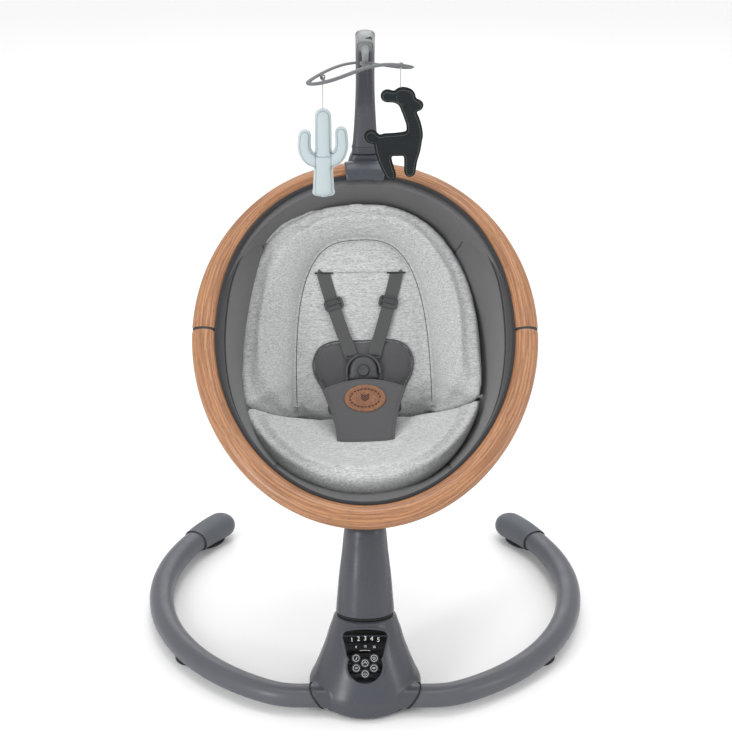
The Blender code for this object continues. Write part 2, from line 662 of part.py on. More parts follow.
# ---------------------------------------------------------------- seat frame
def make_hub():
    bracket = box("hub_bracket", (0.0520, 0.0550, 0.0143))
    place(bracket, SEAT, ALLOY, (0, -0.1225, 0.23365))
    for side in (-1, 1):
        cheek = box(f"cheek_{side}", (0.0100, 0.0400, 0.0320))
        place(cheek, SEAT, None, (side * 0.0210, HINGE.y, 0.2190))
        eye = cylinder(f"cheek_eye_{side}", 0.0200, 0.0100)
        place(eye, SEAT, None, (side * 0.0210, HINGE.y, HINGE.z), (0, pi / 2, 0))
        combine(bracket, [cheek, eye], "UNION")
    bore = cylinder("cheek_bore", PIN_R + GAP, 0.08, 24)
    place(bore, SEAT, None, HINGE, (0, pi / 2, 0))
    lever_slot = box("lever_slot", (0.0250, 0.0150, 0.0150))
    place(lever_slot, SEAT, None, LEVER_HINGE)
    combine(bracket, [bore, lever_slot])
    pin = ((0, 0.0275), (0.0080, 0.0275), (0.0080, 0.0263), (PIN_R, 0.0263), (PIN_R, -0.0275), (0, -0.0275))
    place(turned("hinge_pin", pin, 16), SEAT, STEEL, HINGE, (0, pi / 2, 0))

    tilt = Matrix.Rotation(RING_TILT, 3, "X")
    under = [RING_CENTRE + tilt @ bowl_point(f, pi, -SPINE_OFF) for f in (0.2, 0.3, 0.4, 0.55, 0.75, 0.9, 1.0)]
    behind = [RING_CENTRE + tilt @ bowl_point(f, 0, -SPINE_OFF) for f in (0.9, 0.75, 0.6, 0.4, 0.2, 0.08, 0.02)]
    start = [Vector((0, -0.2407, 0.2622)), Vector((0, -0.2180, 0.2635)), Vector((0, -0.1900, 0.2615))]
    end = [Vector((0, 0.1675, 0.5980)), Vector((0, 0.1690, 0.6120)), Vector((0, 0.1690, ARM_ROOT.z - 0.0290))]
    # built flat in local XY, then stood up so that local X is +Y and local Y is +Z
    path = [Vector((p.y, p.z, 0)) for p in start + under + behind + end]
    path = smooth_path(path, 40)
    path[1:-1] = [(a + b * 2 + c) / 4 for a, b, c in zip(path, path[1:], path[2:])]
    spine = sweep("seat_spine", path, *SPINE_HALF)
    place(spine, SEAT, BLACK, (0, 0, 0), (pi / 2, 0, pi / 2))

    paddle = [(-0.0118, -0.0055), (0.0118, -0.0055), (0.0118, 0.0120), (0.0170, 0.0240), (0.0170, 0.0480),
              (0.0110, 0.0560), (-0.0110, 0.0560), (-0.0170, 0.0480), (-0.0170, 0.0240), (-0.0118, 0.0120)]
    place(plate("recline_lever", paddle, 0.0050), LEVER, BLACK, LEVER_HINGE)


def make_ring():
    """Two tubes bent to the egg, closed over by a sleeve at each joint."""
    turn = (RING_TILT, 0, 0)
    joint = pi / 2 - 0.05
    for name, start, end in (("rim_upper", -joint, joint), ("rim_lower", joint, 2 * pi - joint)):
        trim = 0.0010 / RING_HALF[1]
        angles = [start + trim + (end - start - 2 * trim) * k / 24 for k in range(25)]
        half = sweep(name, [ring_point(a) for a in angles], *RING_SECTION, caps=False)
        add_wall(half, 0.0030)
        place(half, SEAT, WOOD, RING_CENTRE, turn)
    for name, side in (("left_rim_joint", -1), ("right_rim_joint", 1)):
        angles = [side * (joint - 0.085 + 0.17 * k / 4) for k in range(5)]
        sleeve = sweep(name, [ring_point(a) for a in angles], RING_SECTION[0] - 0.0043,
                       RING_SECTION[1] - 0.0043)
        place(sleeve, SEAT, BLACK, RING_CENTRE, turn)

    shell = bowl_band("seat_shell", [0, 0.02, 0.06, 0.13, 0.25, 0.42, 0.62, 0.82, 1], 0.0, BOWL_WALL)
    place(shell, SEAT, SHELL, RING_CENTRE, turn)
    clear = BOWL_WALL + 0.0022
    bolster = bowl_band("insert_bolster", [0.06, 0.13, 0.25, 0.34], clear, 0.0300)
    place(bolster, SEAT, INSERT, RING_CENTRE, turn)
    pad = bowl_band("insert_pad", [0.36, 0.42, 0.62, 0.82, 1], clear, 0.0200)
    place(pad, SEAT, INSERT, RING_CENTRE, turn)


# ---------------------------------------------------------------- harness, in the seat back's frame
def on_back(across, up, out):
    """A point over the seat back: across, up from the crease, and out of it."""
    return CREASE + Vector((across, up * cos(BACK_TILT) - out * sin(BACK_TILT),
                            up * sin(BACK_TILT) + out * cos(BACK_TILT)))


def ribbon(name, points, half_w, thickness):
    """A flat strap: points are (across, up, out) in the back's frame, as mid-plane stations."""
    stations = [Vector(p) for p in points]
    rings = []
    for k, here in enumerate(stations):
        before = stations[max(k - 1, 0)]
        after = stations[min(k + 1, len(stations) - 1)]
        run = (after - before).normalized()
        wide = Vector((0, 0, 1)).cross(run).normalized()
        face = run.cross(wide).normalized()
        corners = ((-1, -1), (1, -1), (1, 1), (-1, 1))
        rings.append([here + wide * (half_w * a) + face * (thickness / 2 * b) for a, b in corners])
    return loft(name, rings)


def make_strap(side, word):
    """A shoulder strap and the adjuster that slides on it."""
    top, mid, end = (Vector((side * x, up, out)) for x, up, out in (STRAP_TOP, STRAP_MID, STRAP_END))
    strap = ribbon(word + "_shoulder_strap", (top, mid, end), STRAP_HALF, STRAP_THICK)
    place(strap, SEAT, WEBBING, CREASE, (BACK_TILT, 0, 0))
    run = (top - mid).normalized()
    spot = on_back(*(mid + run * ADJUSTER_UP))
    axis = empty(word + "_adjuster_axis", spot, BACK_TILT, SEAT)
    lift = acos(min(1.0, sqrt(run.x ** 2 + run.y ** 2))) * (1 if run.z < 0 else -1)
    spin = Matrix.Rotation(atan2(-run.x, run.y), 4, "Z") @ Matrix.Rotation(-lift, 4, "X")
    angles = (Matrix.Rotation(BACK_TILT, 4, "X") @ spin).to_euler()
    body = box(word + "_strap_adjuster", ADJUSTER_SIZE)
    hole = box(word + "_adjuster_slot", (0.0200, 0.0400, 0.0022))
    place(body, axis, PLASTIC, spot, angles)
    place(hole, axis, None, spot, angles)
    combine(body, [hole])


def make_buckle(turn):
    housing = [(BUCKLE_HALF * cos(radians(a)), BUCKLE_UP + BUCKLE_HALF * sin(radians(a))) for a in range(0, 181, 20)]
    housing += [(-BUCKLE_HALF, BUCKLE_FOOT), (BUCKLE_HALF, BUCKLE_FOOT)]
    buckle = plate("buckle_body", housing, BUCKLE_THICK)
    place(buckle, SEAT, PLASTIC, on_back(0, 0, BUCKLE_OUT), turn)
    pocket = cylinder("button_pocket", BUTTON_R + 0.0006, 0.0100, 24)
    place(pocket, SEAT, None, on_back(*BUTTON_AT), turn)
    combine(buckle, [pocket])
    place(cylinder("buckle_button", BUTTON_R, 0.0050, 24), BUTTON, PLASTIC, on_back(*BUTTON_AT), turn)


def make_flap():
    """The crotch flap with its badge: arched on top, with hollow sides."""
    tilt = BACK_TILT + FLAP_LEAN
    wide, shoulder = FLAP_SIDE[-1]
    arch = [(wide * (1 - k / 5), shoulder + FLAP_RISE * sin(pi / 2 * k / 5)) for k in range(1, 5)]
    right = [*FLAP_SIDE, *arch]
    outline = [*right, (0, shoulder + FLAP_RISE), *[(-x, y) for x, y in right[::-1]]]
    place(plate("crotch_flap", outline, FLAP_THICK), SEAT, PADDING, on_back(*FLAP_AT), (tilt, 0, 0))
    oval_edge = [(x, y) for x, y, _ in oval(*BADGE_HALF, 24)]
    rise = FLAP_THICK / 2 + BADGE_THICK / 2 + GAP
    lift = Vector((0, BADGE_UP * cos(tilt) - rise * sin(tilt), BADGE_UP * sin(tilt) + rise * cos(tilt)))
    badge = plate("leather_badge", oval_edge, BADGE_THICK)
    place(badge, SEAT, LEATHER, on_back(*FLAP_AT) + lift, (tilt, 0, 0))


def make_harness():
    turn = (BACK_TILT, 0, 0)
    make_strap(-1, "left")
    make_strap(1, "right")
    lobes = []
    for k in range(28):
        angle = 2 * pi * k / 28
        x = 0.0720 * sin(angle) * (1 - 0.16 * max(0.0, -cos(angle)))
        y = 0.0570 + 0.0560 * cos(angle) - 0.0090 * max(0.0, cos(angle)) * (x / 0.06) ** 2
        lobes.append((x, y))
    place(plate("waist_pad", lobes, WAIST_THICK), SEAT, PADDING, on_back(0, 0, WAIST_OUT), turn)
    make_buckle(turn)
    make_flap()


# ---------------------------------------------------------------- toy bar
def make_saddle():
    """A strip bent over the ring's tube, from behind it to its front."""
    reach = SADDLE_HALF / RING_HALF[0]
    low, high = SADDLE_TURN
    rings = []
    for k in range(7):
        phi = reach * (k / 3 - 1)
        outward = (ring_point(phi + 0.01) - ring_point(phi - 0.01)).normalized().cross(Vector((0, 0, -1)))
        section = []
        for grow, turns in ((SADDLE_GAP + SADDLE_WALL, range(13)), (SADDLE_GAP, range(12, -1, -1))):
            for j in turns:
                angle = low + (high - low) * j / 12
                section.append(ring_point(phi) + outward * ((RING_SECTION[0] + grow) * cos(angle))
                               + Vector((0, 0, (RING_SECTION[1] + grow) * sin(angle))))
        rings.append(section)
    return loft("ring_saddle", rings)


def make_toy_bar():
    socket = box("toy_bar_socket", (0.0520, 0.0300, 0.0280), 0.004)
    place(socket, SEAT, GREY, ARM_ROOT + Vector((0, 0, -0.0140)))
    post = cylinder("socket_post", 0.0052, 0.0320, 20)
    place(post, SEAT, None, ARM_ROOT + Vector((0, 0, 0.0140)))
    combine(socket, [post, place(make_saddle(), SEAT, None, RING_CENTRE, (RING_TILT, 0, 0))], "UNION")

    base_y, base_z = ARM_ROOT.y, ARM_ROOT.z
    route = [(base_y, base_z + 0.0012), (base_y + 0.0005, base_z + 0.0360), (base_y - 0.0050, base_z + 0.0800),
             (0.1420, 0.7830), (0.1060, 0.8310), (0.0600, 0.8570), (0.0150, 0.8640), (-0.0165, 0.8605)]
    count = 17
    path = smooth_path([Vector((y, z, 0)) for y, z in route], count)
    radii = [1.45 - 0.45 * min(1.0, k / 4) for k in range(count)]
    arm = sweep("toy_bar_arm", path, 0.0075, 0.0130, radii=radii, caps=False)
    add_wall(arm, 0.0016)
    place(arm, TOY_BAR, GREY, (0, 0, 0), (pi / 2, 0, pi / 2))

    tip = cylinder("toy_bar_tip", 0.0105, 0.0080, 16, 0.0015)
    place(tip, TOY_BAR, TIP_GREY, (0, HANGER_Y, TIP_Z))
    grip = cylinder("toy_bar_grip", 0.0038, 0.0150, 12)
    place(grip, TOY_BAR, None, (0, HANGER_Y + 0.0140, TIP_Z + 0.0012), (pi / 2, 0, 0))
    seat_hole = cylinder("tip_bore", 0.0022, 0.0200, 16)
    place(seat_hole, TOY_BAR, None, (0, HANGER_Y, TIP_Z - 0.0080))
    combine(tip, [grip], "UNION")
    combine(tip, [seat_hole])


def hanger_point(along, across):
    """The hanger bar's plan: along it, and across it; the bar droops and twists towards its ends."""
    twist = radians(-8 - 22 * along / 0.07)
    drop = -0.0105 * (abs(along) / 0.075) ** 1.6 if along < 0 else -0.0040 * (along / 0.065) ** 2
    sag = 0.0030 * cos(along / 0.075 * pi)
    return Vector((along, across * cos(twist), across * sin(twist) + drop + sag - 0.0030))


def make_hanger():
    """A leaf-shaped loop under the arm's tip, on a short stem."""
    count = 28
    loop = []
    for k in range(count):
        angle = 2 * pi * k / count
        along = 0.0725 * cos(angle) - 0.0065
        across = 0.0165 * sin(angle) * (1 - 0.25 * cos(2 * angle))
        loop.append(hanger_point(along, across))
    bar = sweep("toy_hanger", loop, 0.0024, 0.0015, 6, cyclic=True)
    yaw = (0, 0, HANGER_YAW)
    spot = (0, HANGER_Y, HANGER_Z)
    place(bar, HANGER, TIP_GREY, spot, yaw)
    bridge = rod("hanger_bridge", [hanger_point(0, -0.0200), hanger_point(0, 0), hanger_point(0, 0.0200)], 0.0022)
    stem = cylinder("hanger_stem", 0.0019, 0.0200, 16)
    place(bridge, HANGER, None, spot, yaw)
    place(stem, HANGER, None, (0, HANGER_Y, HANGER_Z + 0.0080))
    eyes = []
    for name, along in (("cactus_eye", CACTUS_ALONG), ("llama_eye", LLAMA_ALONG)):
        eye = rod(name, [hanger_point(along, -0.0160), hanger_point(along, 0), hanger_point(along, 0.0160)], 0.0018)
        eyes.append(place(eye, HANGER, None, spot, yaw))
    return combine(bar, [bridge, stem, *eyes], "UNION")


def toy_top(along):
    """Under the hanger's eye, in the base frame."""
    local = hanger_point(along, 0) + Vector((0, 0, -EYE_DROP))
    return Vector((0, HANGER_Y, HANGER_Z)) + Matrix.Rotation(HANGER_YAW, 3, "Z") @ local


def limb(name, start, end, radius, end_radius=None, depth=0.75):
    """A stuffed limb between two points, round in front view and flatter in depth."""
    start, end = Vector(start), Vector(end)
    end_radius = end_radius or radius
    run = (end - start).normalized()
    wide = Vector((run.z, 0, -run.x))
    stations = []
    for k in range(4):
        t = pi / 2 * k / 4
        stations.append((start - run * (radius * cos(t)), radius * sin(t)))
    stations.append((start, radius))
    stations.append((end, end_radius))
    for k in range(1, 4):
        t = pi / 2 * k / 4
        stations.append((end + run * (end_radius * sin(t)), end_radius * cos(t)))
    rings = [[stations[0][0]]]
    for centre, size in stations[1:]:
        rings.append([centre + wide * (size * cos(a)) + Vector((0, size * depth * sin(a), 0))
                      for a in (2 * pi * j / 8 for j in range(8))])
    rings.append([end + run * end_radius])
    return loft(name, rings, "open")


def make_toys():
    top = toy_top(CACTUS_ALONG)
    place(rod("cactus_string", [(0, 0, -GAP), (0, 0, -CACTUS_STRING)], STRING_R), CACTUS, STRING, top)
    root = top + Vector((0, 0, -CACTUS_STRING - GAP))
    cactus = limb("cactus_toy", (0, 0, -0.0105), (0, 0, -0.1120), 0.0105, 0.0120)
    place(cactus, CACTUS, TOY_PALE, root)
    parts = [limb("left_elbow", (-0.0225, 0, -0.0640), (0, 0, -0.0700), 0.0085),
             limb("left_forearm", (-0.0235, 0, -0.0330), (-0.0235, 0, -0.0620), 0.0085),
             limb("right_elbow", (0.0225, 0, -0.0640), (0, 0, -0.0700), 0.0085),
             limb("right_forearm", (0.0235, 0, -0.0290), (0.0235, 0, -0.0620), 0.0085)]
    combine(cactus, [place(part, CACTUS, None, root) for part in parts], "UNION")

    top = toy_top(LLAMA_ALONG)
    place(rod("llama_string", [(0, 0, -GAP), (0, 0, -LLAMA_STRING)], STRING_R), LLAMA, STRING, top)
    root = top + Vector((0, 0, -LLAMA_STRING - GAP))
    llama = limb("llama_toy", (0.0010, 0, -0.0115), (0.0060, 0, -0.0150), 0.0115)
    place(llama, LLAMA, TOY_DARK, root)
    parts = [limb("muzzle", (-0.0140, 0, -0.0140), (0.0000, 0, -0.0130), 0.0072),
             limb("neck", (0.0080, 0, -0.0180), (0.0165, 0, -0.0640), 0.0090, 0.0120),
             limb("llama_body", (-0.0210, 0, -0.0760), (0.0090, 0, -0.0740), 0.0150, 0.0160),
             limb("hind_leg", (-0.0180, 0, -0.0800), (-0.0120, 0, -0.1260), 0.0100, 0.0065),
             limb("fore_leg", (0.0120, 0, -0.0800), (0.0120, 0, -0.1200), 0.0100, 0.0065),
             limb("tail", (-0.0400, 0, -0.0660), (-0.0300, 0, -0.0700), 0.0070)]
    combine(llama, [place(part, LLAMA, None, root) for part in parts], "UNION")


# ---------------------------------------------------------------- assembly
clear_scene()
WORLDS = {}
BASE = empty("base_frame", Vector((0, LEG_CIRCLE_Y, 0)))
BASE_WORLD = WORLDS["base_frame"]
COLUMN = empty("swing_axis", PIVOT, -LEAN, BASE)
SEAT = empty("recline_axis", HINGE, 0.0, COLUMN)
LEVER = empty("lever_axis", LEVER_HINGE, 0.0, SEAT)
BUTTON = empty("button_axis", on_back(*BUTTON_AT), BACK_TILT, SEAT)
TOY_BAR = empty("toy_bar_axis", ARM_ROOT, 0.0, SEAT)
HANGER = empty("hanger_axis", Vector((0, HANGER_Y, HANGER_Z)), 0.0, TOY_BAR)
CACTUS = empty("cactus_axis", toy_top(CACTUS_ALONG), 0.0, HANGER)
LLAMA = empty("llama_axis", toy_top(LLAMA_ALONG), 0.0, HANGER)

GREY = material("slate_plastic", (0.130, 0.140, 0.160), 0.35)
BLACK = material("black_plastic", (0.020, 0.020, 0.022), 0.50)
GLOSS = material("gloss_black", (0.008, 0.008, 0.009), 0.08)
TIP_GREY = material("light_grey_plastic", (0.260, 0.275, 0.275), 0.40)
RUBBER = material("black_rubber", (0.015, 0.015, 0.015), 0.85)
STEEL = material("steel", (0.550, 0.550, 0.560), 0.30, 1.0)
ALLOY = material("cast_alloy", (0.450, 0.450, 0.460), 0.45, 1.0)
COPPER = material("copper_winding", (0.720, 0.320, 0.160), 0.35, 1.0)
NYLON = material("nylon", (0.750, 0.740, 0.700), 0.55)
BOARD = material("circuit_board", (0.020, 0.120, 0.040), 0.50)
WOOD = material("wood", (0.480, 0.270, 0.150), 0.42)
SHELL = material("shell_fabric", (0.110, 0.110, 0.112), 0.90)
INSERT = material("melange_knit", (0.480, 0.490, 0.490), 0.95)
WEBBING = material("webbing", (0.140, 0.150, 0.145), 0.85)
PLASTIC = material("buckle_plastic", (0.070, 0.072, 0.075), 0.45)
PADDING = material("harness_fabric", (0.108, 0.108, 0.112), 0.90)
LEATHER = material("tan_leather", (0.250, 0.120, 0.065), 0.60)
STRING = material("string", (0.700, 0.700, 0.690), 0.80)
TOY_PALE = material("pale_felt", (0.600, 0.680, 0.700), 0.95)
TOY_DARK = material("dark_felt", (0.035, 0.040, 0.045), 0.95)

make_base()
make_column()
make_hub()
make_ring()
make_harness()
make_toy_bar()
make_hanger()
make_toys()
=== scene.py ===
from bisect import bisect_left
from math import acos, atan2, cos, exp, pi, radians, sin, sqrt

import bmesh
import bpy
from mathutils import Matrix, Vector
from mathutils.bvhtree import BVHTree
from mathutils.kdtree import KDTree


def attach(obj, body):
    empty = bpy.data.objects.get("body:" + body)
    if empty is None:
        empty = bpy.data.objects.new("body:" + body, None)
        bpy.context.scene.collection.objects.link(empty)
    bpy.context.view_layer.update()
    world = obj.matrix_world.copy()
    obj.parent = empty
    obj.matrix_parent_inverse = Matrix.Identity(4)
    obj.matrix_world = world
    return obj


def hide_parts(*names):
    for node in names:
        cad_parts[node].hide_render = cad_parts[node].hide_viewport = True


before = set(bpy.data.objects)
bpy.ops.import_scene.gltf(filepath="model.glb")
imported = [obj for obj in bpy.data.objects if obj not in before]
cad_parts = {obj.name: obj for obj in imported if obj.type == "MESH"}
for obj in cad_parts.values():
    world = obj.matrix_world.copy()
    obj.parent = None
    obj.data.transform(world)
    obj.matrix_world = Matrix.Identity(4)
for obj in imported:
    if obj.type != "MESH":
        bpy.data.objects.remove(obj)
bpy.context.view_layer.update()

# ---------------------------------------------------------------- the design's frames and driving sizes
UP = Vector((0, 0, 1))
BASE = Matrix.Translation((0, 0.0471, 0))     # the centre of the circle that the legs follow
LEG_R = 0.303
LEG_HEIGHT = 0.0228
LEG_HALF = (0.0178, 0.0148)
LEG_POWER = 2.25                              # how square the leg's oval is; 2 is an ellipse
LEG_ENTRY = (0.056, -0.2815)
LEG_ROUND_FROM = radians(30)
CAP_MOUTH = radians(119.5)
CAP_END = radians(135.5)
CAP_HALF = (0.0222, 0.0180)
SOLE_TOP = 0.0047

LEAN = radians(13)
PIVOT = Vector((0, -0.212, 0.1135))
RING_HALF = (0.2235, 0.2603)
RING_EGG = 0.03
RING_CENTRE = (0, -0.055, 0.4575)
RING_TILT = radians(42)
RING_SLOPE = (0.743, 0.669)                   # cosine and sine of the tilt
RING_SECTION = (0.0165, 0.0125)
RING_POWER = 2.15
HEM_COVER = 0.0055                            # how much of the ring's section the hem covers at the top
RIM_JOINT = pi / 2 - 0.05
BOWL_RIM = (0.2050, 0.2425)
BOWL_LOW = -0.050
BOWL_DEPTH = 0.206
CREASE = Vector((0, 0.0328, 0.2943))
BACK_TILT = radians(64.4)
ASKEW = radians(2.06)                         # the insert and harness lie a little to one side
SLOT_ACROSS = 0.0522                          # from the middle line to a strap's slot
STRAP_HALF = 0.0095
ADJUSTER_TOP = Vector((0.0515, 0.2100, 0.0085))
ADJUSTER_LOW = Vector((0.0300, 0.1300, 0.0155))
ADJUSTER_UP = 0.0370
FLAP_LEAN = radians(-24)
BUCKLE_UP = 0.0670
BUTTON_UP = 0.0680
BADGE_UP = 0.0223
FLAP_AT = (0, 0.0060, 0.0680)
FACE_POINT = Vector((0, -0.2825, 0.0857))
FACE_TILT = radians(60.6)
FASCIA_SINK = 0.0022
FASCIA_THICK = 0.0025
KEY_R = 0.0052
KEY_SPOTS = {"key_song": (-0.0123, -0.0018), "key_timer": (0.0123, -0.0018), "key_speed": (0, -0.0085),
             "key_volume": (-0.0120, -0.0152), "key_link": (0.0120, -0.0152), "key_power": (0, -0.0230)}
ARM_ROOT = Vector((0, 0.170, 0.652))
SADDLE_HALF = 0.0275
HANGER_AT = Vector((0, -0.030, 0.8430))
HANGER_YAW = radians(19)
CACTUS_ALONG = -0.0590
LLAMA_ALONG = 0.0500
CACTUS_STRING = 0.0385
LLAMA_STRING = 0.0260
EYE_DROP = 0.0027


def tilted(place, tilt, turn=0.0):
    """A frame at a place of the base frame, tilted about X, then turned in its own plane."""
    return BASE @ Matrix.Translation(place) @ Matrix.Rotation(tilt, 4, "X") @ Matrix.Rotation(turn, 4, "Z")


def moved(matrix, x=0.0, y=0.0, z=0.0):
    return matrix @ Matrix.Translation((x, y, z))


RING = tilted(RING_CENTRE, RING_TILT)
BACK = tilted(CREASE, BACK_TILT, ASKEW)
FACE = tilted(FACE_POINT, FACE_TILT)
COLUMN = tilted(PIVOT, -LEAN)
FLAP = BACK @ Matrix.Translation(FLAP_AT) @ Matrix.Rotation(FLAP_LEAN, 4, "X")
HANGER = BASE @ Matrix.Translation(HANGER_AT) @ Matrix.Rotation(HANGER_YAW, 4, "Z")


# ---------------------------------------------------------------- node materials
def plain(name, colour, roughness, **more):
    """A Principled material; more sets sockets by name, with _ for a space."""
    made = bpy.data.materials.new(name)
    made.use_nodes = True
    shader = made.node_tree.nodes["Principled BSDF"]
    shader.inputs["Base Color"].default_value = (*colour, 1)
    shader.inputs["Roughness"].default_value = roughness
    for key, value in more.items():
        shader.inputs[key.replace("_", " ")].default_value = value
    return made


def node(made, kind, inputs=None, **settings):
    new = made.node_tree.nodes.new(kind)
    for key, value in settings.items():
        setattr(new, key, value)
    for key, value in (inputs or {}).items():
        if isinstance(value, bpy.types.NodeSocket):
            made.node_tree.links.new(value, new.inputs[key])
        else:
            new.inputs[key].default_value = value
    return new


def to_shader(made, key, socket):
    made.node_tree.links.new(socket, made.node_tree.nodes["Principled BSDF"].inputs[key])


def coords(made, kind="Object", scale=(1, 1, 1)):
    source = node(made, "ShaderNodeTexCoord").outputs[kind]
    return node(made, "ShaderNodeMapping", {"Vector": source, "Scale": scale}).outputs["Vector"]


def noise(made, vector, scale, detail=3.0, rough=0.5, distort=0.0):
    return node(made, "ShaderNodeTexNoise", {"Vector": vector, "Scale": scale, "Detail": detail,
                                             "Roughness": rough, "Distortion": distort}).outputs["Fac"]


def ramp(made, factor, stops):
    """Colours or greys at positions: stops is ((position, colour or grey), ...)."""
    new = node(made, "ShaderNodeValToRGB", {"Fac": factor})
    band = new.color_ramp
    while len(band.elements) < len(stops):
        band.elements.new(0.5)
    for element, (position, value) in zip(band.elements, stops):
        element.position = position
        element.color = (*value, 1) if isinstance(value, tuple) else (value, value, value, 1)
    return new.outputs["Color"]


def mixed(made, factor, first, second):
    """A blend of two colours, each a socket or three numbers."""
    first, second = ((*value, 1) if isinstance(value, tuple) else value for value in (first, second))
    return node(made, "ShaderNodeMix", {0: factor, 6: first, 7: second}, data_type="RGBA").outputs[2]


def times(made, first, second):
    return node(made, "ShaderNodeMath", {0: first, 1: second}, operation="MULTIPLY").outputs[0]


def waves(made, vector, scale, way, distortion, **more):
    inputs = {"Vector": vector, "Scale": scale, "Distortion": distortion}
    inputs |= {key.replace("_", " "): value for key, value in more.items()}
    return node(made, "ShaderNodeTexWave", inputs, bands_direction=way).outputs["Fac"]


def shaded_by(colour, share):
    return tuple(min(1, c * share) for c in colour)


def bumped(made, layers):
    """Bump from (height socket, depth in metres) layers."""
    normal = None
    for height, depth in layers:
        inputs = {"Height": height, "Strength": 1.0, "Distance": depth}
        if normal is not None:
            inputs["Normal"] = normal
        normal = node(made, "ShaderNodeBump", inputs).outputs["Normal"]
    to_shader(made, "Normal", normal)


def moulded(name, colour, roughness, grain=0.00004, **more):
    """Moulded plastic or rubber: a fine grain, soft colour and gloss variation."""
    made = plain(name, colour, roughness, **more)
    place = coords(made)
    broad = noise(made, place, 14, 3, 0.55)
    fine = noise(made, place, 900, 2, 0.6)
    to_shader(made, "Base Color", mixed(made, broad, shaded_by(colour, 0.90), shaded_by(colour, 1.08)))
    low, high = max(0.02, roughness - 0.06), min(1, roughness + 0.07)
    to_shader(made, "Roughness", ramp(made, noise(made, place, 45, 4, 0.6), ((0.3, low), (0.7, high))))
    bumped(made, ((fine, grain), (broad, grain * 2)))
    return made


def metal(name, colour, roughness):
    made = plain(name, colour, roughness, Metallic=1.0)
    place = coords(made, scale=(1, 1, 12))
    brushed = noise(made, place, 260, 4, 0.6)
    to_shader(made, "Base Color", mixed(made, brushed, shaded_by(colour, 0.85), colour))
    to_shader(made, "Roughness", ramp(made, brushed, ((0.3, roughness * 0.8), (0.7, roughness * 1.3))))
    bumped(made, ((brushed, 0.00003),))
    return made


def wood_look():
    """Oak print on the ring: grain along the tube, cathedral swirls, open pores and a satin coat."""
    made = plain("wood_look", (0.52, 0.28, 0.15), 0.42, Coat_Weight=0.25, Coat_Roughness=0.28)
    long_grain = coords(made, "UV", (3.0, 84, 1))
    swirl = noise(made, coords(made, "UV", (6, 34, 1)), 1.6, 3, 0.5, 0.6)
    shifted = node(made, "ShaderNodeVectorMath", {0: long_grain, 1: swirl}, operation="ADD").outputs[0]
    bands = waves(made, shifted, 0.9, "Y", 5.5, Detail=3, Detail_Scale=1.4)
    fibre = noise(made, coords(made, "UV", (14, 900, 1)), 1.0, 4, 0.6)
    pores = noise(made, coords(made, "UV", (90, 1500, 1)), 1.0, 1, 0.5)
    broad = noise(made, coords(made, "UV", (6, 20, 1)), 1.0, 2)
    base = ramp(made, bands, ((0.0, (0.205, 0.074, 0.026)), (0.30, (0.370, 0.165, 0.066)),
                              (1.0, (0.490, 0.240, 0.100))))
    threads = ramp(made, fibre, ((0.30, (0.215, 0.080, 0.032)), (0.68, (0.460, 0.230, 0.115))))
    toned = mixed(made, 0.45, base, threads)
    shaded = mixed(made, ramp(made, broad, ((0.3, 0.0), (0.75, 0.35))), toned, (0.470, 0.235, 0.115))
    open_pores = ramp(made, pores, ((0.62, 0.0), (0.70, 1.0)))
    dark_pores = mixed(made, times(made, open_pores, 0.75), shaded, (0.110, 0.042, 0.020))
    drawn = noise(made, coords(made, "UV", (9, 260, 1)), 1.0, 3, 0.6, 0.4)
    streak = ramp(made, drawn, ((0.40, 1.0), (0.53, 0.0)))
    to_shader(made, "Base Color", mixed(made, times(made, streak, 0.55), dark_pores, (0.190, 0.072, 0.028)))
    to_shader(made, "Roughness", ramp(made, fibre, ((0.3, 0.38), (0.7, 0.52))))
    bumped(made, ((fibre, 0.00006), (open_pores, -0.00010)))
    return made


def melange():
    """Heather-grey knit: pale stitches with darker flecks drawn out across the piece, in rows of loops."""
    made = plain("melange_knit", (0.50, 0.51, 0.51), 0.95, Sheen_Weight=0.25, Sheen_Roughness=0.5)
    flecks = noise(made, coords(made, scale=(240, 900, 900)), 1.0, 3, 0.65)
    streaks = noise(made, coords(made, scale=(60, 420, 420)), 1.0, 3, 0.6)
    broad = noise(made, coords(made), 9, 2)
    base = ramp(made, flecks, ((0.32, (0.150, 0.158, 0.162)), (0.46, (0.42, 0.435, 0.435)),
                               (0.60, (0.68, 0.695, 0.690))))
    drawn = ramp(made, streaks, ((0.32, (0.36, 0.37, 0.375)), (0.60, (0.69, 0.70, 0.695))))
    toned = mixed(made, 0.40, base, drawn)
    worn = ramp(made, broad, ((0.3, 0.0), (0.8, 0.18)))
    to_shader(made, "Base Color", mixed(made, worn, toned, (0.42, 0.43, 0.43)))
    rows = waves(made, coords(made), 180, "Y", 1.0, Detail=1)
    bumped(made, ((rows, 0.00020), (flecks, 0.00035), (broad, 0.0010)))
    return made


def woven(name, colour, thread, contrast):
    """Plain-weave cloth with crossing threads of a given pitch."""
    made = plain(name, colour, 0.88, Sheen_Weight=0.2, Sheen_Roughness=0.5)
    place = coords(made)
    warp, weft = (waves(made, place, 1 / thread / 3.2, way, 0.6, Detail=1) for way in "XY")
    threads = times(made, warp, weft)
    fluff = noise(made, place, 700, 3, 0.6)
    broad = noise(made, place, 11, 3)
    dark = shaded_by(colour, 1 - contrast)
    cloth = mixed(made, fluff, dark, shaded_by(colour, 1 + contrast))
    to_shader(made, "Base Color", mixed(made, times(made, broad, 0.5), cloth, dark))
    bumped(made, ((threads, thread * 0.35), (fluff, thread * 0.3)))
    return made


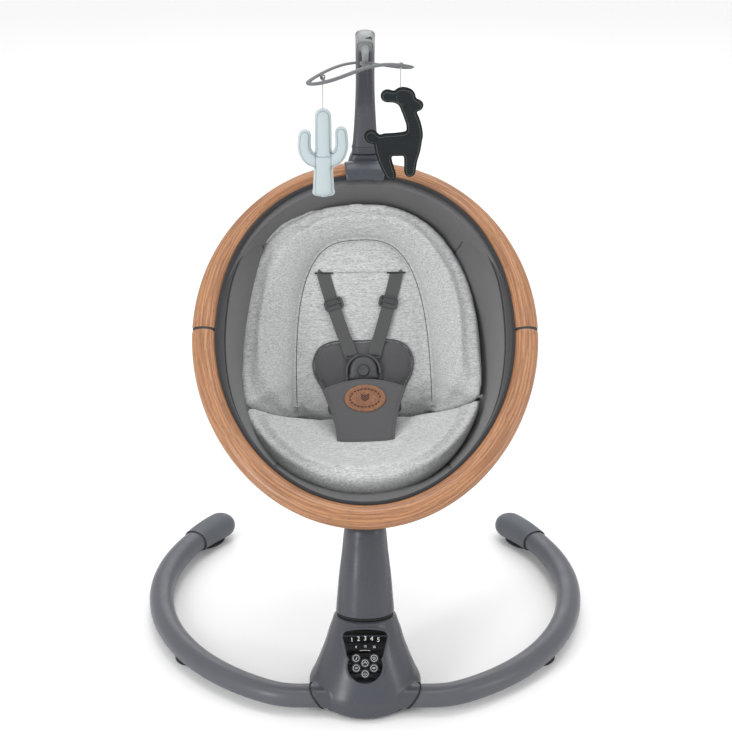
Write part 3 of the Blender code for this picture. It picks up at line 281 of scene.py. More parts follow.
def ribbed(name, colour):
    """Webbing: ribs across the strap at every millimetre, and a fine twill over them. UVs run along it."""
    made = plain(name, colour, 0.80, Sheen_Weight=0.25)
    place = coords(made, "UV")
    ribs = waves(made, place, 230, "DIAGONAL", 0.4)
    cords = waves(made, place, 150, "Y", 0.2)
    tone = times(made, ribs, noise(made, place, 900, 2))
    to_shader(made, "Base Color", mixed(made, tone, shaded_by(colour, 0.7), shaded_by(colour, 1.5)))
    bumped(made, ((ribs, 0.00022), (cords, 0.00012)))
    return made


def leather():
    """Tan leather: pebbled grain with painted shade darkening its creases, a mottled tone that is lighter on
    its raised parts, and a thin coat.
    """
    made = plain("tan_leather", (0.300, 0.125, 0.055), 0.55, Coat_Weight=0.1, Coat_Roughness=0.4)
    place = coords(made)
    pebble = node(made, "ShaderNodeTexVoronoi", {"Vector": place, "Scale": 620}, feature="DISTANCE_TO_EDGE")
    edges = ramp(made, pebble.outputs["Distance"], ((0.0, 0.0), (0.25, 1.0)))
    mottled = noise(made, place, 130, 4, 0.65)
    base = ramp(made, mottled, ((0.25, (0.195, 0.072, 0.030)), (0.55, (0.330, 0.140, 0.062)),
                                (0.80, (0.430, 0.200, 0.095))))
    # painted shade: the base colour is darkened along the pebbles' creases (the edges mask)
    to_shader(made, "Base Color", mixed(made, edges, (0.130, 0.048, 0.022), base))
    bumped(made, ((edges, 0.00008), (mottled, 0.00012)))
    return made


def felt(name, colour, speck, contrast):
    """Stuffed toy cloth: brushed fibres, with specks of another tone."""
    made = plain(name, colour, 0.95, Sheen_Weight=0.35 * min(1.0, colour[0] * 4), Sheen_Roughness=0.6,
                 Specular_IOR_Level=0.25)
    place = coords(made)
    fibres = noise(made, place, 1100, 4, 0.7, 1.2)
    cells = node(made, "ShaderNodeTexVoronoi", {"Vector": place, "Scale": 750}).outputs["Distance"]
    cloth = mixed(made, fibres, shaded_by(colour, 1 - contrast), shaded_by(colour, 1 + contrast))
    to_shader(made, "Base Color", mixed(made, ramp(made, cells, ((0.05, 0.5), (0.22, 0.0))), cloth, speck))
    bumped(made, ((fibres, 0.00020), (cells, 0.00012)))
    return made


def glossy_black():
    """The fascia's printed glass-look plastic, with faint wipe marks in its gloss."""
    made = plain("gloss_panel", (0.006, 0.006, 0.007), 0.16, Specular_IOR_Level=0.22)
    wipes = noise(made, coords(made), 40, 4, 0.6)
    to_shader(made, "Roughness", ramp(made, wipes, ((0.35, 0.27), (0.75, 0.33))))
    to_shader(made, "Base Color", mixed(made, wipes, (0.005, 0.005, 0.006), (0.009, 0.009, 0.010)))
    bumped(made, ((wipes, 0.00001),))
    return made


def circuit_look():
    made = plain("circuit_board", (0.02, 0.12, 0.04), 0.45)
    place = coords(made)
    inputs = {"Vector": place, "Scale": 260, "Mortar Size": 0.06, "Color1": (0.015, 0.10, 0.035, 1),
              "Color2": (0.02, 0.14, 0.05, 1), "Mortar": (0.30, 0.20, 0.07, 1)}
    tracks = node(made, "ShaderNodeTexBrick", inputs)
    to_shader(made, "Base Color", tracks.outputs["Color"])
    bumped(made, ((tracks.outputs["Fac"], 0.00005),))
    return made


SLATE = moulded("slate_plastic", (0.052, 0.057, 0.069), 0.30, 0.00003, Specular_IOR_Level=0.45)
TUBE = moulded("slate_tube", (0.084, 0.089, 0.104), 0.34, 0.00003, Specular_IOR_Level=0.40)
CAP_GREY = moulded("slate_cap", (0.096, 0.104, 0.118), 0.48, 0.00008, Specular_IOR_Level=0.35)
TIP_GREY = moulded("light_grey_plastic", (0.195, 0.207, 0.208), 0.40, 0.00005)
HANGER_GREY = moulded("hanger_plastic", (0.120, 0.127, 0.132), 0.38, 0.00005)
BLACK = moulded("black_plastic", (0.020, 0.020, 0.022), 0.50, 0.00008)
BUCKLE_GREY = moulded("buckle_plastic", (0.066, 0.067, 0.070), 0.42, 0.00006, Specular_IOR_Level=0.4)
RUBBER = moulded("rubber", (0.014, 0.014, 0.015), 0.82, 0.00012)
NYLON = moulded("nylon_bush", (0.74, 0.73, 0.69), 0.50)
STEEL = metal("steel", (0.56, 0.56, 0.57), 0.28)
ALLOY = metal("cast_alloy", (0.45, 0.45, 0.46), 0.45)
COPPER = metal("copper_winding", (0.72, 0.32, 0.16), 0.35)
GLOSS = glossy_black()
BOARD = circuit_look()
WOOD = wood_look()
KNIT = melange()
SHELL_CLOTH = woven("shell_fabric", (0.132, 0.132, 0.136), 0.0009, 0.14)
ZIP_CLOTH = woven("zip_fabric", (0.048, 0.048, 0.052), 0.0010, 0.20)
HARNESS_CLOTH = woven("harness_fabric", (0.100, 0.100, 0.105), 0.0007, 0.14)
TAPE_CLOTH = woven("tape_fabric", (0.022, 0.022, 0.026), 0.0008, 0.30)
WEBBING = ribbed("webbing", (0.088, 0.090, 0.089))
LEATHER = leather()
BURNT_LEATHER = moulded("burnt_leather", (0.085, 0.032, 0.016), 0.6)
PALE_FELT = felt("pale_felt", (0.44, 0.51, 0.53), (0.62, 0.68, 0.70), 0.14)
PALE_EDGE = felt("pale_edge", (0.50, 0.57, 0.59), (0.64, 0.70, 0.72), 0.10)
DARK_FELT = felt("dark_felt", (0.014, 0.018, 0.020), (0.070, 0.080, 0.082), 0.50)
DARK_EDGE = felt("dark_edge", (0.010, 0.011, 0.012), (0.03, 0.03, 0.03), 0.3)
THREAD_DARK = woven("dark_thread", (0.060, 0.062, 0.066), 0.0004, 0.4)
THREAD_MOSS = woven("moss_thread", (0.105, 0.125, 0.115), 0.0004, 0.3)
THREAD_GREY = woven("grey_thread", (0.085, 0.090, 0.094), 0.0004, 0.3)
THREAD_TAN = woven("tan_thread", (0.46, 0.24, 0.12), 0.0004, 0.3)
STRING = woven("toy_string", (0.40, 0.40, 0.39), 0.0004, 0.2)
PRINT = moulded("printed_mark", (0.62, 0.63, 0.64), 0.40, 0.00001)


# ---------------------------------------------------------------- building pieces
def turns_of(count):
    """Even angles round a full turn."""
    return [2 * pi * k / count for k in range(count)]


def bulged(value, power):
    """A superellipse's stretch of a sine or cosine; power 2 leaves it as it is."""
    return abs(value) ** (2 / power) * (1 if value >= 0 else -1)


def run_lengths(points):
    total = [0.0]
    for before, after in zip(points, points[1:]):
        total.append(total[-1] + (after - before).length)
    return total


def at_length(points, lengths, distance):
    """The point at a distance along a path whose running lengths are given."""
    spot = min(max(bisect_left(lengths, distance), 1), len(lengths) - 1)
    low, high = lengths[spot - 1], lengths[spot]
    return points[spot - 1].lerp(points[spot], (distance - low) / max(high - low, 1e-9))


def skin(name, rows, matrix, surface, loop=False, ring=True, caps=True):
    """Quads over rows of points; a row of one point is a pole. UVs are metres along and around.
    ring closes each row, loop joins the last row to the first, and caps fills open end rows."""
    bm = bmesh.new()
    grid = [[bm.verts.new(point) for point in row] for row in rows]
    wide = max(rows, key=len)
    along = run_lengths([row[0] for row in rows] + [rows[0][0]])
    around = run_lengths([*wide, wide[0]])
    uv = bm.loops.layers.uv.new("run")
    for i in range(len(rows) if loop else len(rows) - 1):
        first, second = grid[i], grid[(i + 1) % len(rows)]
        count = max(len(first), len(second))
        for j in range(count if ring else count - 1):
            after = (j + 1) % count
            spots = [(first, j, i, j), (first, after, i, j + 1),
                     (second, after, i + 1, j + 1), (second, j, i + 1, j)]
            if len(first) == 1:
                spots = [(first, 0, i, j), spots[2], spots[3]]
            elif len(second) == 1:
                spots = [spots[0], spots[1], (second, 0, i + 1, j)]
            face = bm.faces.new([row[k] for row, k, _, _ in spots])
            for corner, (_, _, u, v) in zip(face.loops, spots):
                corner[uv].uv = (along[u], around[v])
    if caps and ring and not loop:
        for row in (grid[0], grid[-1]):
            if len(row) > 2:
                bm.faces.new(row)
    bmesh.ops.recalc_face_normals(bm, faces=bm.faces)
    return from_bmesh(name, bm, matrix, surface)


def add_rod(bm, rows):
    """Quads over closed rows, with a cap at each end."""
    grid = [[bm.verts.new(p) for p in row] for row in rows]
    for first, second in zip(grid, grid[1:]):
        for j in range(len(first)):
            after = (j + 1) % len(first)
            bm.faces.new((first[j], first[after], second[after], second[j]))
    bm.faces.new(grid[0])
    bm.faces.new(grid[-1])


def from_bmesh(name, bm, matrix, surface, angle=40):
    mesh = bpy.data.meshes.new(name)
    bm.to_mesh(mesh)
    bm.free()
    mesh.shade_smooth()
    mesh.set_sharp_from_angle(angle=radians(angle))
    made = bpy.data.objects.new(name, mesh)
    bpy.context.scene.collection.objects.link(made)
    made.matrix_world = matrix
    if surface is not None:
        mesh.materials.append(surface)
    return made


def oval(half_w, half_h, sides=32, power=2.0):
    """A superellipse; power 2 is an ellipse."""
    return [(half_w * bulged(cos(a), power), half_h * bulged(sin(a), power)) for a in turns_of(sides)]


def mirrored(right):
    """A closed outline from its right half, which starts and ends on the middle line."""
    return right + [(-x, y) for x, y in right[1:-1][::-1]]


def inset(outline, amount):
    """A closed clockwise outline with its points moved inwards."""
    shrunk = []
    for k, (x, y) in enumerate(outline):
        run = (Vector(outline[(k + 1) % len(outline)]) - Vector(outline[k - 1])).normalized()
        shrunk.append((x + run.y * amount, y - run.x * amount))
    return shrunk


def sweep_rows(path, section, up, loop=False):
    """Rows of a bar along path; section(share) gives its (side, rise) outline there."""
    rows = []
    last = len(path) - 1
    for k, here in enumerate(path):
        before = path[k - 1] if k or loop else here
        after = path[(k + 1) % len(path)] if k < last or loop else here
        run = (after - before).normalized()
        side = run.cross(up).normalized()
        rise = side.cross(run)
        rows.append([here + side * a + rise * b for a, b in section(k / last)])
    return rows


def bar(name, path, section, matrix, surface, up=UP, loop=False):
    return skin(name, sweep_rows(path, section, up, loop), matrix, surface, loop=loop)


def tube(name, path, radius, matrix, surface, loop=False, sides=8, up=UP):
    """A thin round cord or welt along a path."""
    round_section = oval(radius, radius, sides)
    return bar(name, path, lambda t: round_section, matrix, surface, up, loop)


def smooth_path(points, count):
    """Catmull-Rom points through the given ones."""
    points = [Vector(p) for p in points]
    ends = [points[0] * 2 - points[1], *points, points[-1] * 2 - points[-2]]
    path = []
    for k in range(count):
        at = k / (count - 1) * (len(points) - 1)
        start = min(int(at), len(points) - 2)
        t = at - start
        a, b, c, d = ends[start:start + 4]
        path.append(0.5 * (2 * b + (c - a) * t + (2 * a - 5 * b + 4 * c - d) * t * t
                           + (3 * b - a - 3 * c + d) * t * t * t))
    return path


def turned(name, profile, matrix, surface, sides=96, loop=False):
    """Spin (radius, height) points about local Z; a radius of 0 is a pole and loop closes the profile."""
    rows = []
    for radius, height in profile:
        if radius == 0:
            rows.append([Vector((0, 0, height))])
        else:
            rows.append([Vector((radius * cos(a), radius * sin(a), height)) for a in turns_of(sides)])
    return skin(name, rows, matrix, surface, loop=loop)


def curve_mesh(curve, weld):
    """A filled curve's or text's mesh, with points closer than weld joined."""
    made = bpy.data.objects.new("filled", curve)
    bpy.context.scene.collection.objects.link(made)
    mesh = evaluated_mesh(made)
    bpy.data.objects.remove(made, do_unlink=True)
    bm = bmesh.new()
    bm.from_mesh(mesh)
    bmesh.ops.remove_doubles(bm, verts=bm.verts, dist=weld)
    return bm


def evaluated_mesh(obj):
    bpy.context.view_layer.update()
    return bpy.data.meshes.new_from_object(obj.evaluated_get(bpy.context.evaluated_depsgraph_get()))


def plate(name, outline, thickness, matrix, surface, bevel=0.0, segments=3, holes=()):
    """A flat outline in local XY, centred on z = 0, with rounded edges."""
    flat = bpy.data.curves.new(name, "CURVE")
    flat.dimensions = "2D"
    flat.fill_mode = "BOTH"
    flat.extrude = thickness / 2 - bevel
    flat.bevel_depth = bevel
    flat.bevel_resolution = segments
    flat.offset = -bevel
    for ring in (outline, *holes):
        line = flat.splines.new("POLY")
        line.points.add(len(ring) - 1)
        for k, (x, y) in enumerate(ring):
            line.points[k].co = (x, y, 0, 1)
        line.use_cyclic_u = True
    bm = curve_mesh(flat, 1e-6)
    bmesh.ops.recalc_face_normals(bm, faces=bm.faces)
    return from_bmesh(name, bm, matrix, surface, 30)


def block(name, size, matrix, surface, bevel=0.001, segments=3):
    """A rounded box, centred."""
    bm = bmesh.new()
    bmesh.ops.create_cube(bm, size=1.0)
    bmesh.ops.scale(bm, verts=bm.verts, vec=size)
    bmesh.ops.bevel(bm, geom=bm.edges, offset=bevel, segments=segments, affect="EDGES", profile=0.5)
    return from_bmesh(name, bm, matrix, surface)


def merge(name, pieces):
    """Join pieces that share a body and a finish into one object."""
    target = pieces[0]
    if len(pieces) > 1:
        with bpy.context.temp_override(active_object=target, selected_editable_objects=pieces):
            bpy.ops.object.join()
    target.name = name
    return target


def applied(obj):
    """Turn an object's modifiers into its mesh."""
    mesh = evaluated_mesh(obj)
    obj.modifiers.clear()
    obj.data = mesh
    return obj


def cut(obj, others, operation="DIFFERENCE"):
    for other in others:
        step = obj.modifiers.new("cut", "BOOLEAN")
        step.operation = operation
        step.object = other
        step.solver = "EXACT"
    applied(obj)
    for other in others:
        bpy.data.objects.remove(other, do_unlink=True)
    obj.data.shade_smooth()
    obj.data.set_sharp_from_angle(angle=radians(32))
    return obj


def finish_piece(obj, body, slot, *nodes):
    """Ride on a body and stand for CAD nodes; slot is not used."""
    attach(obj, body)
    if nodes:
        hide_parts(*nodes)
    return obj


def smoothed(obj, times_over):
    even = obj.modifiers.new("even", "SMOOTH")
    even.iterations = times_over
    return applied(obj)


def remeshed(obj, voxel, smoothing):
    step = obj.modifiers.new("voxels", "REMESH")
    step.mode = "VOXEL"
    step.voxel_size = voxel
    return smoothed(obj, smoothing)


def subdivided(obj):
    finer = obj.modifiers.new("finer", "SUBSURF")
    finer.levels = finer.render_levels = 1
    applied(obj)


def inflate(obj, voxel, cap, pressure=4.0, smoothing=2):
    """Blow the piece up a little as cloth, with no gravity, so that its cover creases as a stuffed one does.
    cap is how far a point may move."""
    remeshed(obj, voxel, smoothing)
    start = [v.co.copy() for v in obj.data.vertices]
    cloth = obj.modifiers.new("cloth", "CLOTH")
    cloth.settings.quality = 5
    cloth.settings.mass = 0.3
    cloth.settings.use_pressure = True
    cloth.settings.uniform_pressure_force = pressure
    cloth.settings.effector_weights.gravity = 0
    cloth.point_cache.frame_start = 1
    cloth.point_cache.frame_end = 20
    for number in range(1, 21):
        bpy.context.scene.frame_set(number)
    applied(obj)
    bpy.context.scene.frame_set(1)
    for vertex, rest in zip(obj.data.vertices, start):
        move = vertex.co - rest
        if move.length > cap:
            vertex.co = rest + move * (cap / move.length)
    subdivided(obj)
    obj.data.shade_smooth()
    return obj


# ---------------------------------------------------------------- shapes shared with the CAD design
def along_leg(side, start, end, count):
    return [Vector((side * LEG_R * sin(a), -LEG_R * cos(a), LEG_HEIGHT))
            for a in (start + (end - start) * k / (count - 1) for k in range(count))]


def leg_path(side, end, start=0.0):
    """From inside the pod out to the circle, then round it."""
    entry = Vector((side * LEG_ENTRY[0], LEG_ENTRY[1], LEG_HEIGHT))
    joint = along_leg(side, LEG_ROUND_FROM, end, 2)[0]
    pull = 0.045
    first = entry + Vector((side * pull, 0, 0))
    second = joint + Vector((-side * cos(LEG_ROUND_FROM), -sin(LEG_ROUND_FROM), 0)) * pull
    blend = []
    for k in range(24):
        t = start + (1 - start) * k / 24
        blend.append(entry * (1 - t) ** 3 + first * 3 * t * (1 - t) ** 2 + second * 3 * t * t * (1 - t)
                     + joint * t ** 3)
    return blend + along_leg(side, LEG_ROUND_FROM, end, 90)


def ring_point(phi, half=RING_HALF):
    """A point of the ring's egg, or of a smaller egg like it; phi is 0 at its top."""
    return Vector((half[0] * sin(phi) * (1 + RING_EGG * cos(phi)), half[1] * cos(phi), 0))


def bowl_fall(fraction, phi):
    """Depth of the bowl: fraction 0 at its rim, 1 at its deepest point."""
    front = max(0.0, -cos(phi)) ** 2
    back = max(0.0, cos(phi)) ** 2
    side = 1 - front - back
    power = 1.2 * (front + back) + 2.6 * side
    root = 0.75 * front + 0.40 * back + 0.45 * side
    return BOWL_DEPTH * max(0.0, 1 - (1 - fraction) ** power) ** root


def liner_fall(fraction, phi):
    """The padded inner face leaves the rim more gently than the bowl does at its sides."""
    wall = bowl_fall(fraction, phi)
    soft = 7.0 * fraction ** 2 + 0.05 * fraction
    return wall + (min(wall, soft) - wall) * abs(sin(phi)) ** 3


def bowl_point(fraction, phi, lift=0.0, fall=bowl_fall):
    def surface(f, p):
        flat = ring_point(p, BOWL_RIM).lerp(Vector((0, BOWL_LOW, 0)), f)
        return Vector((flat.x, flat.y, -fall(f, p)))
    here = surface(fraction, phi)
    if not lift:
        return here
    if fraction > 0.999:
        return here + Vector((0, 0, lift))
    step = 0.002
    down = surface(min(fraction + step, 1), phi) - surface(max(fraction - step, 0.0), phi)
    normal = (surface(fraction, phi + 0.02) - surface(fraction, phi - 0.02)).cross(down).normalized()
    return here + normal * (lift if normal.z > 0 else -lift)


BOWL_TURNS = [k * 2 * pi / 720 - pi for k in range(721)]
BOWL_REACHES = [ring_point(turn, BOWL_RIM) - Vector((0, BOWL_LOW, 0)) for turn in BOWL_TURNS]
BOWL_HEADINGS = [(atan2(reach.x, reach.y), reach.length) for reach in BOWL_REACHES]


def bowl_depth(x, y):
    """The bowl's depth under a point of the ring's plane, 0 outside it."""
    away = Vector((x, y - BOWL_LOW, 0))
    if away.length < 0.001:
        return BOWL_DEPTH
    spot = min(bisect_left(BOWL_HEADINGS, (atan2(away.x, away.y), 0.0)), len(BOWL_HEADINGS) - 1)
    share = away.length / BOWL_HEADINGS[spot][1]
    if share >= 1:
        return 0.0
    return bowl_fall(1 - share, BOWL_TURNS[spot])


def keep_in_bowl(obj, clear=0.0035):
    """Draw whatever reaches into the seat shell inwards, or else lift it to lie just over the shell."""
    to_ring = RING.inverted() @ obj.matrix_world
    back = to_ring.inverted()
    for vertex in obj.data.vertices:
        p = to_ring @ vertex.co
        x, y = p.x, p.y - BOWL_LOW
        for _ in range(100):
            room = bowl_depth(x, y + BOWL_LOW) - clear
            if -p.z - room < 0.014:
                break
            x, y = x * 0.996, y * 0.996
        if -p.z > room or (x, y) != (p.x, p.y - BOWL_LOW):
            vertex.co = back @ Vector((x, y + BOWL_LOW, max(p.z, -room)))
    smoothed(obj, 5)


def hanger_point(along, across):
    """The leaf is a twisted, sagging strip; along runs from one toy to the other."""
    twist = radians(-8 - 22 * along / 0.07)
    drop = -0.0105 * (abs(along) / 0.075) ** 1.6 if along < 0 else -0.0040 * (along / 0.065) ** 2
    sag = 0.0030 * cos(along / 0.075 * pi)
    return Vector((along, across * cos(twist), across * sin(twist) + drop + sag - 0.0030))


def toy_top(along):
    """Where a toy's string is tied, in the world."""
    return BASE @ (HANGER_AT + Matrix.Rotation(HANGER_YAW, 3, "Z") @ (hanger_point(along, 0)
                                                                      + Vector((0, 0, -EYE_DROP))))


# ---------------------------------------------------------------- base
POD_SECTIONS = (  # height, half width, half depth, centre y, share of the column's lean
    (0.0018, 0.0560, 0.0590, -0.2470, 0.0), (0.0050, 0.0655, 0.0650, -0.2460, 0.0),
    (0.0130, 0.0728, 0.0688, -0.2450, 0.0), (0.0260, 0.0775, 0.0695, -0.2448, 0.0),
    (0.0420, 0.0705, 0.0650, -0.2415, 0.12), (0.0600, 0.0625, 0.0600, -0.2360, 0.30),
    (0.0780, 0.0552, 0.0548, -0.2290, 0.50), (0.0930, 0.0502, 0.0512, -0.2215, 0.75),
    (0.1040, 0.0458, 0.0474, -0.2160, 0.95), (0.1105, 0.0434, 0.0440, -0.2130, 1.0),
    (0.1122, 0.0422, 0.0425, -0.2124, 1.0))


def fascia_outline(grow=0.0):
    """A shield: wide and gently arched at the top, narrowing to a round lower lobe."""
    right = []
    for angle in range(90, 80, -2):
        right.append((0.140 * cos(radians(angle)), -0.1025 + 0.140 * sin(radians(angle))))
    for angle in range(66, -16, -8):
        right.append((0.0222 + 0.0085 * cos(radians(angle)), 0.0272 + 0.0085 * sin(radians(angle))))
    right += [(0.0284, 0.0170), (0.0266, 0.0090), (0.0250, 0.0010)]
    for angle in range(24, -91, -6):
        right.append((0.0243 * cos(radians(angle)), -0.0128 + 0.0237 * sin(radians(angle))))
    return inset(mirrored(right), -grow)


def pod_rows():
    """The housing's sections, smoothed in height."""
    sizes = smooth_path([row[:3] for row in POD_SECTIONS], 64)
    places = smooth_path([(*row[3:], 0) for row in POD_SECTIONS], 64)
    rows = []
    for (height, half_x, half_y), (centre_y, share, _) in zip(sizes, places):
        lean = LEAN * share
        rows.append([Vector((x * half_x, centre_y + half_y * y * cos(lean), height - half_y * y * sin(lean)))
                     for x, y in oval(1, 1, 128)])
    inner = [Vector((p.x * 0.55, centre_y + (p.y - centre_y) * 0.55, p.z + (p.y - centre_y) * 0.1))
             for p in rows[-1]]
    return [*rows, inner]


def leg_section(grow_w=0.0, grow_h=0.0):
    return oval(LEG_HALF[0] + grow_w, LEG_HALF[1] + grow_h, 48, LEG_POWER)


def collar_rows(side):
    """The pod's skin drawn a little way out over the leg; its mouth slants."""
    path = [Vector((side * x, LEG_ENTRY[1], LEG_HEIGHT)) for x in (0.030, 0.045, 0.056, 0.0660)]
    rows = sweep_rows(path, lambda t: leg_section(0.0014, 0.0010), UP)
    return rows[:-1] + [[p + Vector((side * 0.62 * (p.z - LEG_HEIGHT), 0, 0)) for p in rows[-1]]]


def make_pod():
    pod = skin("pod_housing_shell", pod_rows(), BASE, SLATE)
    cut(pod, [skin("collar", collar_rows(side), BASE, SLATE) for side in (-1, 1)], "UNION")
    remeshed(pod, 0.0016, 6)
    seams = []
    for side in (-1, 1):
        mouth = [p + Vector((side * 0.0002, 0, 0)) for p in collar_rows(side)[-1]]
        seams.append(tube("seam", mouth, 0.0009, BASE, RUBBER, loop=True))
    finish_piece(merge("leg_seams", seams), "base", "rubber")
    rim = plate("bezel", fascia_outline(0.0026), 0.0130, moved(FACE, z=-0.0077), SLATE, 0.0011)
    cut(pod, [rim], "UNION")
    window = plate("window", fascia_outline(0.0003), 0.030, moved(FACE, z=0.0128), SLATE)
    sleeves = [bar("sleeve", leg_path(side, radians(60)), lambda t: leg_section(0.0005, 0.0005), BASE, SLATE)
               for side in (-1, 1)]
    inlet_at = moved(BASE, -0.035, -0.1880, 0.0240) @ Matrix.Rotation(pi / 2, 4, "X")
    inlet = turned("inlet", ((0, 0.02), (0.0062, 0.02), (0.0062, -0.02), (0, -0.02)), inlet_at, SLATE)
    cut(pod, [window, *sleeves, inlet])
    finish_piece(pod, "base", "slate_plastic", "pod_housing")

    hole = KEY_R + 0.0003
    holes = [[(x + hole * cos(a), y + hole * sin(a)) for a in turns_of(48)] for x, y in KEY_SPOTS.values()]
    glass = plate("fascia_glass", fascia_outline(-0.0001), FASCIA_THICK,
                  moved(FACE, z=-FASCIA_SINK - FASCIA_THICK / 2), GLOSS, 0.0004, 2, holes)
    finish_piece(glass, "base", "gloss_panel", "control_fascia")
    make_fascia_print()
    for name in KEY_SPOTS:
        make_key(name)


def printed(name, pieces, body):
    marks = merge(name, pieces)
    finish_piece(marks, body, "light_grey_plastic")
    return marks


def number_mark(text, size, x, y, turn=0.0):
    face = moved(FACE, x, y, -FASCIA_SINK + 0.00012) @ Matrix.Rotation(turn, 4, "Z")
    words = bpy.data.curves.new("digit", "FONT")
    words.body = text
    words.size = size
    words.align_x = "CENTER"
    words.align_y = "CENTER"
    words.extrude = 0.00008
    return from_bmesh("digit", curve_mesh(words, 1e-7), face, PRINT)


def make_fascia_print():
    pieces = []
    for k in range(5):
        x = (k - 2) * 0.0090
        pieces.append(number_mark(str(k + 1), 0.0086, x, 0.0248 - 0.0018 * (k - 2) ** 2 / 4, -(k - 2) * 0.05))
    for x, text in ((-0.0123, "8"), (0, "15"), (0.0123, "30")):
        pieces.append(number_mark(text, 0.0042, x, 0.0142 - 6 * x * x))
    across = [(k - 8) * 0.0009 for k in range(17)]
    arc = [Vector((x, 0.0088 - 8 * x * x, -FASCIA_SINK + 0.00010)) for x in across]
    pieces.append(bar("arc", arc, lambda t: oval(0.00022, 0.00008, 6), FACE, PRINT))
    printed("fascia_numbers", pieces, "base")


def key_icon(name, face):
    """A plain sign for the key: note, clock, pulse, speaker, link or power."""
    def line(points, radius=0.00022, loop=False):
        return bar("stroke", [Vector((x, y, 0)) for x, y in points],
                   lambda t: oval(radius, 0.00004, 6), face, PRINT, loop=loop)

    def circle(radius, cx=0.0, cy=0.0, start=0, stop=360):
        angles = [radians(a) for a in range(start, stop, 12)]
        points = [(cx + radius * cos(a), cy + radius * sin(a)) for a in angles]
        return line(points, loop=stop - start == 360)

    if name == "key_song":
        return [line(((0.0006, -0.0010), (0.0006, 0.0017), (0.0018, 0.0012))), circle(0.0006, 0.0, -0.0010)]
    if name == "key_timer":
        return [circle(0.0018), line(((0, 0.0013), (0, 0), (0.0009, 0)))]
    if name == "key_speed":
        return [circle(0.0019, start=-40, stop=220), line(((0, 0), (0.0010, 0.0010)))]
    if name == "key_volume":
        horn = ((-0.0016, 0.0006), (-0.0008, 0.0006), (0.0002, 0.0015), (0.0002, -0.0015), (-0.0008, -0.0006),
                (-0.0016, -0.0006))
        return [line(horn, loop=True), circle(0.0014, 0.0002, 0, -48, 60)]
    if name == "key_link":
        return [circle(0.0010, -0.0008, 0.0), circle(0.0010, 0.0008, 0.0)]
    return [circle(0.0017, start=130, stop=412), line(((0, 0.0005), (0, 0.0020)))]


def make_key(name):
    """A gloss cap in its hole, with its printed ring and sign."""
    x, y = KEY_SPOTS[name]
    face = moved(FACE, x, y, -FASCIA_SINK + 0.0004)
    profile = ((0, 0), (KEY_R * 0.9, 0), (KEY_R * 0.975, -0.00008), (KEY_R, -0.0003), (KEY_R, -0.0042),
               (0, -0.0042))
    cap = turned(name + "_cap", profile, face, GLOSS, 64)
    finish_piece(cap, name, "gloss_panel", name)
    print_face = moved(face, z=0.00004)
    circle = [Vector((0.0042 * cos(a), 0.0042 * sin(a), 0)) for a in turns_of(48)]
    ring = bar("ring", circle, lambda t: oval(0.00026, 0.00004, 6), print_face, PRINT, loop=True)
    printed(name + "_sign", [ring, *key_icon(name, print_face)], name)


def make_legs():
    for side, word in ((-1, "left"), (1, "right")):
        path = [Vector((side * 0.040, LEG_ENTRY[1], LEG_HEIGHT)), *leg_path(side, radians(130))]
        leg = bar(word + "_leg_tube", path, lambda t: leg_section(), BASE, TUBE)
        finish_piece(leg, "base", "slate_tube", word + "_leg")
        make_boot(side, word)


def make_boot(side, word):
    """The end cap: a rolled lip at its mouth, then a blunt boot that is flat over its rubber sole."""
    def row_at(angle, section):
        out = Vector((side * sin(angle), -cos(angle), 0))
        centre = out * LEG_R + Vector((0, 0, LEG_HEIGHT))
        return [centre + out * a + Vector((0, 0, b)) for a, b in section]

    rows = [row_at(CAP_MOUTH + depth / LEG_R, leg_section(grow, grow))
            for depth, grow in ((0.030, 0.0010), (0.0, 0.0012))]
    for k in range(59):
        t = k / 59
        scale = sqrt(max(0.0, 1 - max(0.0, (t - 0.70) / 0.30) ** 2.1))
        swell = 0.925 + 0.105 * sin(min(1.0, t / 0.70) * pi / 2) + 0.012 * exp(-((t - 0.02) / 0.018) ** 2)
        section = oval(CAP_HALF[0] * scale * swell, CAP_HALF[1] * scale * swell, 48, 2.15)
        if t < 0.98:
            section = [(a, max(b, SOLE_TOP - LEG_HEIGHT)) for a, b in section]
        rows.append(row_at(CAP_MOUTH + (CAP_END - CAP_MOUTH) * t, section))
    rows.append(row_at(CAP_END, [(0, 0)]))
    boot = skin(word + "_boot", rows, BASE, CAP_GREY)
    finish_piece(boot, "base", "slate_plastic", word + "_foot_cap")


# ---------------------------------------------------------------- column
def make_column():
    shape = ((0.0030, 0.0392), (0.0038, 0.0398), (0.0060, 0.0402), (0.0233, 0.0388), (0.0402, 0.0374),
             (0.0573, 0.0358), (0.0742, 0.0338), (0.0912, 0.0317), (0.1100, 0.0300), (0.1220, 0.0284),
             (0.1290, 0.0240), (0.1330, 0.0160), (0.1342, 0.0070))
    outer = [(p.y, p.x) for p in smooth_path([(h, r, 0) for h, r in shape], 90)]
    profile = [(0.0, 0.1345), *outer[::-1], (0.0372, 0.0030), (0.0368, 0.0100), (0.0300, 0.1000), (0.0, 0.1200)]
    cover = turned("column_cover_shell", profile, COLUMN, SLATE, 112)
    slot = block("slot", (0.0270, 0.060, 0.0270), moved(BASE, 0, -0.1600, 0.2060), SLATE, 0.003)
    cut(cover, [slot])
    finish_piece(cover, "column", "slate_plastic", "column_cover")
    seal = turned("gap_seal", ((0.0168, 0.0025), (0.0384, 0.0025), (0.0390, 0.0019), (0.0390, 0.0003),
                               (0.0384, -0.0003), (0.0168, -0.0003)), COLUMN, RUBBER, loop=True)
    finish_piece(seal, "column", "rubber", "pivot_seal")


# ---------------------------------------------------------------- seat ring and bowl
def hem_share(phi):
    """The fabric's hem laps out over the ring round its top: 1 there, 0 at the sides."""
    turn = abs((phi + pi) % (2 * pi) - pi)
    share = min(1.0, max(0.0, (radians(86) - turn) / radians(58)))
    return share * share * (3 - 2 * share)


